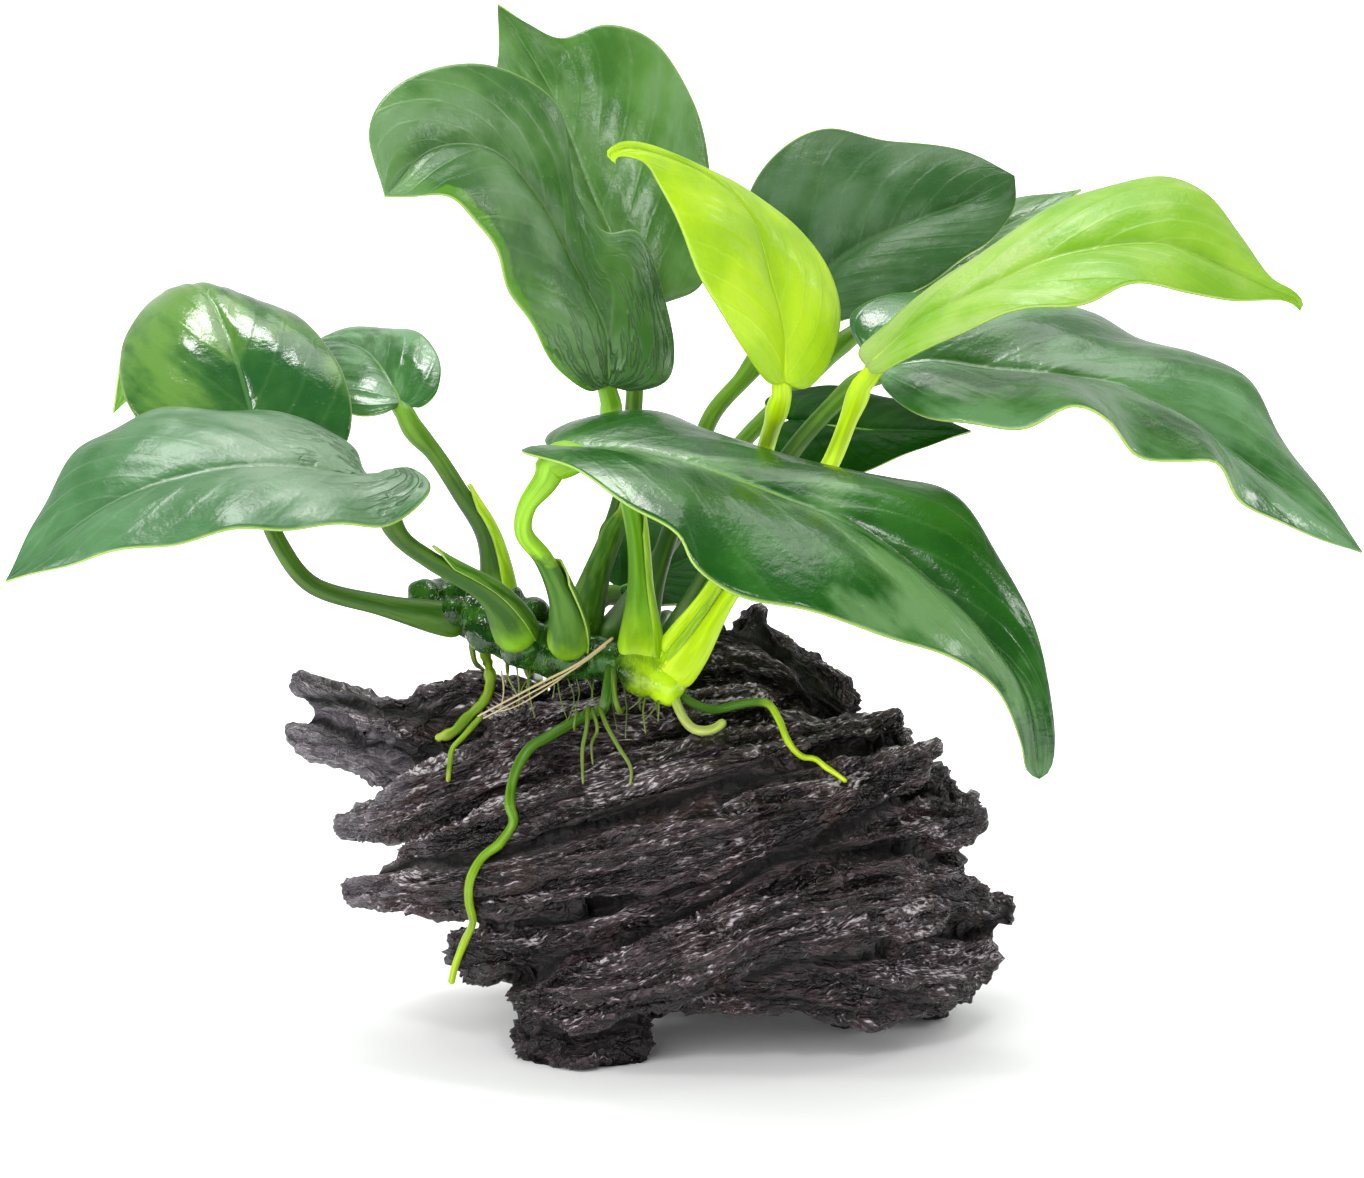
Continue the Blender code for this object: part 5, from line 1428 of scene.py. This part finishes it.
# %% Mix the finishes of stalks and roots
LEAF_GREEN = (0.08, 0.22, 0.01)
UPPER_GREEN = (0.11, 0.27, 0.01)
STALK_GREEN = (0.024, 0.09, 0.004)
RUNS = {
    "old_stalk": {"roughness": 0.38, "stops": [
        (0.0, LEAF_GREEN), (0.45, UPPER_GREEN), (0.65, STALK_GREEN), (1.0, (0.035, 0.12, 0.005))]},
    "grown_stalk": {"roughness": 0.38, "stops": [
        (0.0, LEAF_GREEN), (0.42, UPPER_GREEN), (0.6, STALK_GREEN), (0.82, (0.026, 0.1, 0.003)),
        (0.91, (0.13, 0.32, 0.003)), (1.0, (0.3, 0.5, 0.004))]},
    "bright_stalk": {"roughness": 0.36, "stops": [
        (0.0, LEAF_GREEN), (0.55, (0.14, 0.34, 0.012)), (0.8, (0.12, 0.32, 0.008)),
        (0.93, (0.32, 0.56, 0.006)), (1.0, (0.46, 0.68, 0.008))]},
    "jointed_stalk": {"roughness": 0.36, "stops": [
        (0.0, LEAF_GREEN), (0.5, (0.2, 0.44, 0.02)), (0.72, (0.26, 0.52, 0.02)), (0.75, (0.04, 0.14, 0.006)),
        (0.88, (0.035, 0.13, 0.004)), (1.0, (0.26, 0.5, 0.006))]},
    "young_stalk": {"roughness": 0.36, "stops": [
        (0.0, (0.38, 0.62, 0.006)), (0.6, (0.5, 0.76, 0.006)), (0.9, (0.54, 0.8, 0.008)),
        (1.0, (0.56, 0.78, 0.012))]},
    "sheath": {"roughness": 0.32, "coat": 0.1, "stops": [
        (0.0, (0.46, 0.66, 0.02)), (0.4, (0.3, 0.52, 0.01)), (1.0, (0.34, 0.58, 0.008))]},
    "dark_sheath": {"roughness": 0.38, "stops": [
        (0.0, (0.3, 0.46, 0.03)), (0.12, (0.06, 0.18, 0.01)), (0.55, (0.03, 0.11, 0.004)),
        (1.0, (0.05, 0.15, 0.004))]},
    "green_root": {"roughness": 0.3, "coat": 0.1, "stops": [
        (0.0, (0.025, 0.09, 0.005)), (0.4, (0.04, 0.14, 0.006)), (0.62, (0.16, 0.34, 0.008)),
        (1.0, (0.4, 0.56, 0.01))]},
    "bright_root": {"roughness": 0.3, "stops": [
        (0.0, (0.03, 0.11, 0.005)), (0.42, (0.05, 0.17, 0.006)), (0.5, (0.36, 0.56, 0.008)),
        (1.0, (0.56, 0.68, 0.02))]},
    "lime_root": {"roughness": 0.32, "stops": [
        (0.0, (0.12, 0.26, 0.008)), (0.45, (0.22, 0.38, 0.012)), (0.75, (0.14, 0.28, 0.01)),
        (1.0, (0.42, 0.48, 0.06))]},
    "pale_root": {"roughness": 0.35, "coat": 0.1, "stops": [
        (0.0, (0.3, 0.42, 0.04)), (0.5, (0.44, 0.5, 0.14)), (1.0, (0.34, 0.44, 0.06))]},
    "hair_root": {"roughness": 0.4, "stops": [
        (0.0, (0.05, 0.1, 0.01)), (0.5, (0.12, 0.2, 0.02)), (1.0, (0.22, 0.24, 0.07))]},
    "dry_strand": {"roughness": 0.6, "stops": [
        (0.0, (0.34, 0.26, 0.13)), (1.0, (0.55, 0.46, 0.28))]},
}
STALK_LOOKS = {"far_left": "old_stalk", "back_right": "old_stalk", "far_back": "old_stalk",
               "low_back": "old_stalk", "under_right": "old_stalk", "tall_centre": "bright_stalk",
               "front": "jointed_stalk"}
ROOT_LOOKS = {"root_short": "pale_root", "root_right": "bright_root", "root_left": "lime_root",
              "root_left_branch": "lime_root"}


def run_finish(name, stops, roughness, coat=0.0):
    """A colour that changes from one end of a tube to the other, with fine streaks along it."""
    finish = Finish(name, coat_weight=coat, coat_roughness=0.15, specular_ior_level=0.35)
    around, along = finish.uv()
    blotches = finish.noise(finish.place(), 0.3, detail=3)
    opaque = [(place, colour + (1,)) for place, colour in stops]
    colour = finish.node("ShaderNodeValToRGB", {"stops": opaque}, {0: along + (blotches - 0.5) * 0.16})
    streak_place = finish.node("ShaderNodeCombineXYZ", None, {0: around * 9, 1: along * 5, 2: 0})
    streak = finish.noise(streak_place, 1, detail=3)
    darkened = {"Value": 0.72, "Saturation": 1.05, "Color": colour}
    darker = finish.node("ShaderNodeHueSaturation", None, darkened)
    lighter = finish.mix(0.06, colour, (0.5, 0.66, 0.1, 1))
    shade = finish.mix(finish.step(streak, 0.38, 0.64), darker, lighter)
    height = streak * 0.7 + finish.noise(finish.place(), 3.0, detail=2) * 0.5
    finish.paint(base_color=shade, roughness=streak * 0.2 + roughness, normal=finish.bump(height, 0.06, 0.8))
    return finish.material


runs = {name: run_finish(name, **run) for name, run in RUNS.items()}
print(len(runs), "finishes run along stalks, sheaths, roots and strands")

# %% Mix the creeping stem's finish
OLD_STEM = (0.005, 0.03, 0.003, 1)
MOTTLED_STEM = (0.02, 0.085, 0.005, 1)
RING_SCAR = (0.06, 0.16, 0.015, 1)
NEW_STEM = (0.42, 0.66, 0.01, 1)
stem_finish = Finish("creeping_stem", specular_ior_level=0.45)
position = stem_finish.parts(stem_finish.place())[0]
mottle = stem_finish.noise(stem_finish.place(), 0.45, detail=4)
growth = stem_finish.step(position + mottle * 6, -7.5, 0)
ring_edges = stem_finish.crests(stem_finish.noise(stem_finish.place((1.1, 0.25, 0.3)), 1, detail=2), 0.035)
stem_colour = stem_finish.layered(OLD_STEM, (stem_finish.step(mottle, 0.42, 0.62), MOTTLED_STEM),
                                  (ring_edges * 0.5, RING_SCAR), (growth, NEW_STEM))
stem_grain = (stem_finish.noise(stem_finish.place(), 1.0, detail=2) - ring_edges * 0.4) * (1 - growth * 0.9)
stem_finish.paint(base_color=stem_colour, roughness=mottle * 0.25 + 0.06,
                  normal=stem_finish.bump(stem_grain, 0.25))
print("the stem is dark at its old end and lime where it grows")

# %% [markdown]
# ## Wet wood
# Old driftwood is nearly black. Fibres a fifth of a millimetre wide run along it, and water lies in them.
# Ridges are lighter with wear and painted light, upward faces and the left end are painted lighter, the
# glints along the fibres are painted highlights, and the cracks carry painted shade. The grain attribute
# carries the direction, and the ridge attribute the height, so colour and bump follow the shape.

# %% Read the wood's patterns
wood_finish = Finish("wet_driftwood", specular_ior_level=0.6)


def carried(name, output="Fac"):
    """A pattern that the wood's points carry."""
    return wood_finish.node("ShaderNodeAttribute", {"attribute_name": name}, output=output)


def along_grain(along, across, detail):
    """Noise with this fineness along the grain and across it."""
    return wood_finish.noise(wood_finish.scaled(grain, (along, across, across)), 1, detail=detail)


grain = carried("grain", "Vector")
ridge, crack, sky = (carried(name) for name in ("ridge", "crack", "sky"))
fibre_crests = wood_finish.crests(along_grain(0.14, 1.2, 1), 0.12)
thread_crests = wood_finish.crests(along_grain(0.45, 2.8, 1), 0.12)
beads = along_grain(0.9, 4.8, 2)
bands = along_grain(0.04, 0.3, 2)
pores = wood_finish.noise(wood_finish.place(), 2.4, detail=3, roughness=0.65)
patches = wood_finish.noise(wood_finish.place(), 0.12, detail=3)
west = wood_finish.parts(wood_finish.place())[0]
# Painted light: the wood turns lighter towards its left end, as if lit from the left.
lit_left_end = wood_finish.step(west + patches * 20, -22, -38)
print("fibres, threads, beads and bands run along the grain")

# %% Mix the wood finish
WOOD_BLACK = (0.004, 0.002, 0.0028, 1)
# Lighter wood for worn faces and for painted light.
WORN_AND_LIT_WOOD = (0.06, 0.037, 0.043, 1)
RED_WOOD = (0.06, 0.026, 0.02, 1)
# Painted light on the left end.
LEFT_LIGHT_WOOD = (0.24, 0.215, 0.25, 1)
# Painted sheen and painted glints on the wet fibres.
PAINTED_WOOD_SHEEN = (0.17, 0.14, 0.155, 1)
PAINTED_WOOD_GLINT = (0.55, 0.5, 0.54, 1)
# Painted shade: the cracks between the strands are darkened.
CRACK_SHADE = (0.002, 0.001, 0.0015, 1)
# Wear and painted light: ridges, bands and fibre crests are lighter and grooves darker, and upward faces are
# lighter, as if lit from above.
worn_and_lit = ridge * 0.4 + bands * 0.3 + fibre_crests * 0.15 + thread_crests * 0.15 + sky * 0.1
worn_and_lit = wood_finish.step(worn_and_lit, 0.38, 0.82)
# Painted highlights: pale sheen and glints along the fibres, more on upward faces and fewer in the cracks.
painted_glints = beads + sky * 0.12 + fibre_crests * 0.1 + thread_crests * 0.06 - crack * 0.25
painted_glints = painted_glints + (patches - 0.5) * 0.5 + (bands - 0.5) * 0.5
wood_colour = wood_finish.layered(
    WOOD_BLACK, (worn_and_lit, WORN_AND_LIT_WOOD), (wood_finish.step(patches, 0.5, 0.7) * 0.4, RED_WOOD),
    (lit_left_end * (worn_and_lit * 0.7 + 0.3), LEFT_LIGHT_WOOD), (wood_finish.step(painted_glints, 0.62, 0.76) * 0.5, PAINTED_WOOD_SHEEN),
    (wood_finish.step(painted_glints, 0.75, 0.86) * 0.85, PAINTED_WOOD_GLINT),
    (wood_finish.step(crack, 0.4, 1.0) * 0.8, CRACK_SHADE))
wood_height = fibre_crests * 0.9 + thread_crests * 0.5 + beads * 0.9 + pores * 0.5
wood_finish.paint(base_color=wood_colour, roughness=pores * 0.3 + 0.04 + crack * 0.6,
                  normal=wood_finish.bump(wood_height, 0.35, 1.0))
print("the wood finish is ready")

# %% [markdown]
# ## Put it together
# Every piece gets its finish, stands for its solid, and rides on the object's one body.

# %% Finish the pieces


def finish_piece(piece, materials, slot, *nodes):
    """Fills the piece's material slots, carries it on the body, and hides the solids it stands for."""
    empty_slots(piece, len(materials) - len(piece.data.materials))
    for place, material in enumerate(materials):
        piece.data.materials[place] = material
    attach(piece, "root")
    if nodes:
        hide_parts(*nodes)


for leaf_name in LEAVES:
    young = leaf_name in YOUNG_LEAVES
    age = "young" if young else "dark"
    top, under = leaf_tops[LEAVES[leaf_name]["look"]], young_under if young else grown_under
    blade_looks = [top, under, edge_finish.material]
    finish_piece(blades[leaf_name], blade_looks, age + "_leaf", f"leaf_{leaf_name}_blade")
    stalk_look = "young_stalk" if young else STALK_LOOKS.get(leaf_name, "grown_stalk")
    finish_piece(stalks[leaf_name], [runs[stalk_look]], age + "_stalk", f"leaf_{leaf_name}_stalk")
for leaf_name, piece in sheaths.items():
    sheath_look = "sheath" if leaf_name in LIME_SHEATHS else "dark_sheath"
    finish_piece(piece, [runs[sheath_look], edge_finish.material], "young_stalk")
finish_piece(rhizome, [stem_finish.material], "rhizome", "rhizome")
for node, piece in wood.items():
    finish_piece(piece, [wood_finish.material], "wood", node)
for node, piece in roots.items():
    finish_piece(piece, [runs[ROOT_LOOKS.get(node, "green_root")]], "root", node)
finish_piece(hairs, [runs["hair_root"]], "root")
finish_piece(dry, [runs["dry_strand"]], "root")
print("every piece has its finish and rides on the one body")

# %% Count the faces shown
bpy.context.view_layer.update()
faces = sum(len(o.data.polygons) for o in bpy.data.objects if o.type == "MESH" and not o.hide_render)
print("faces shown:", faces)
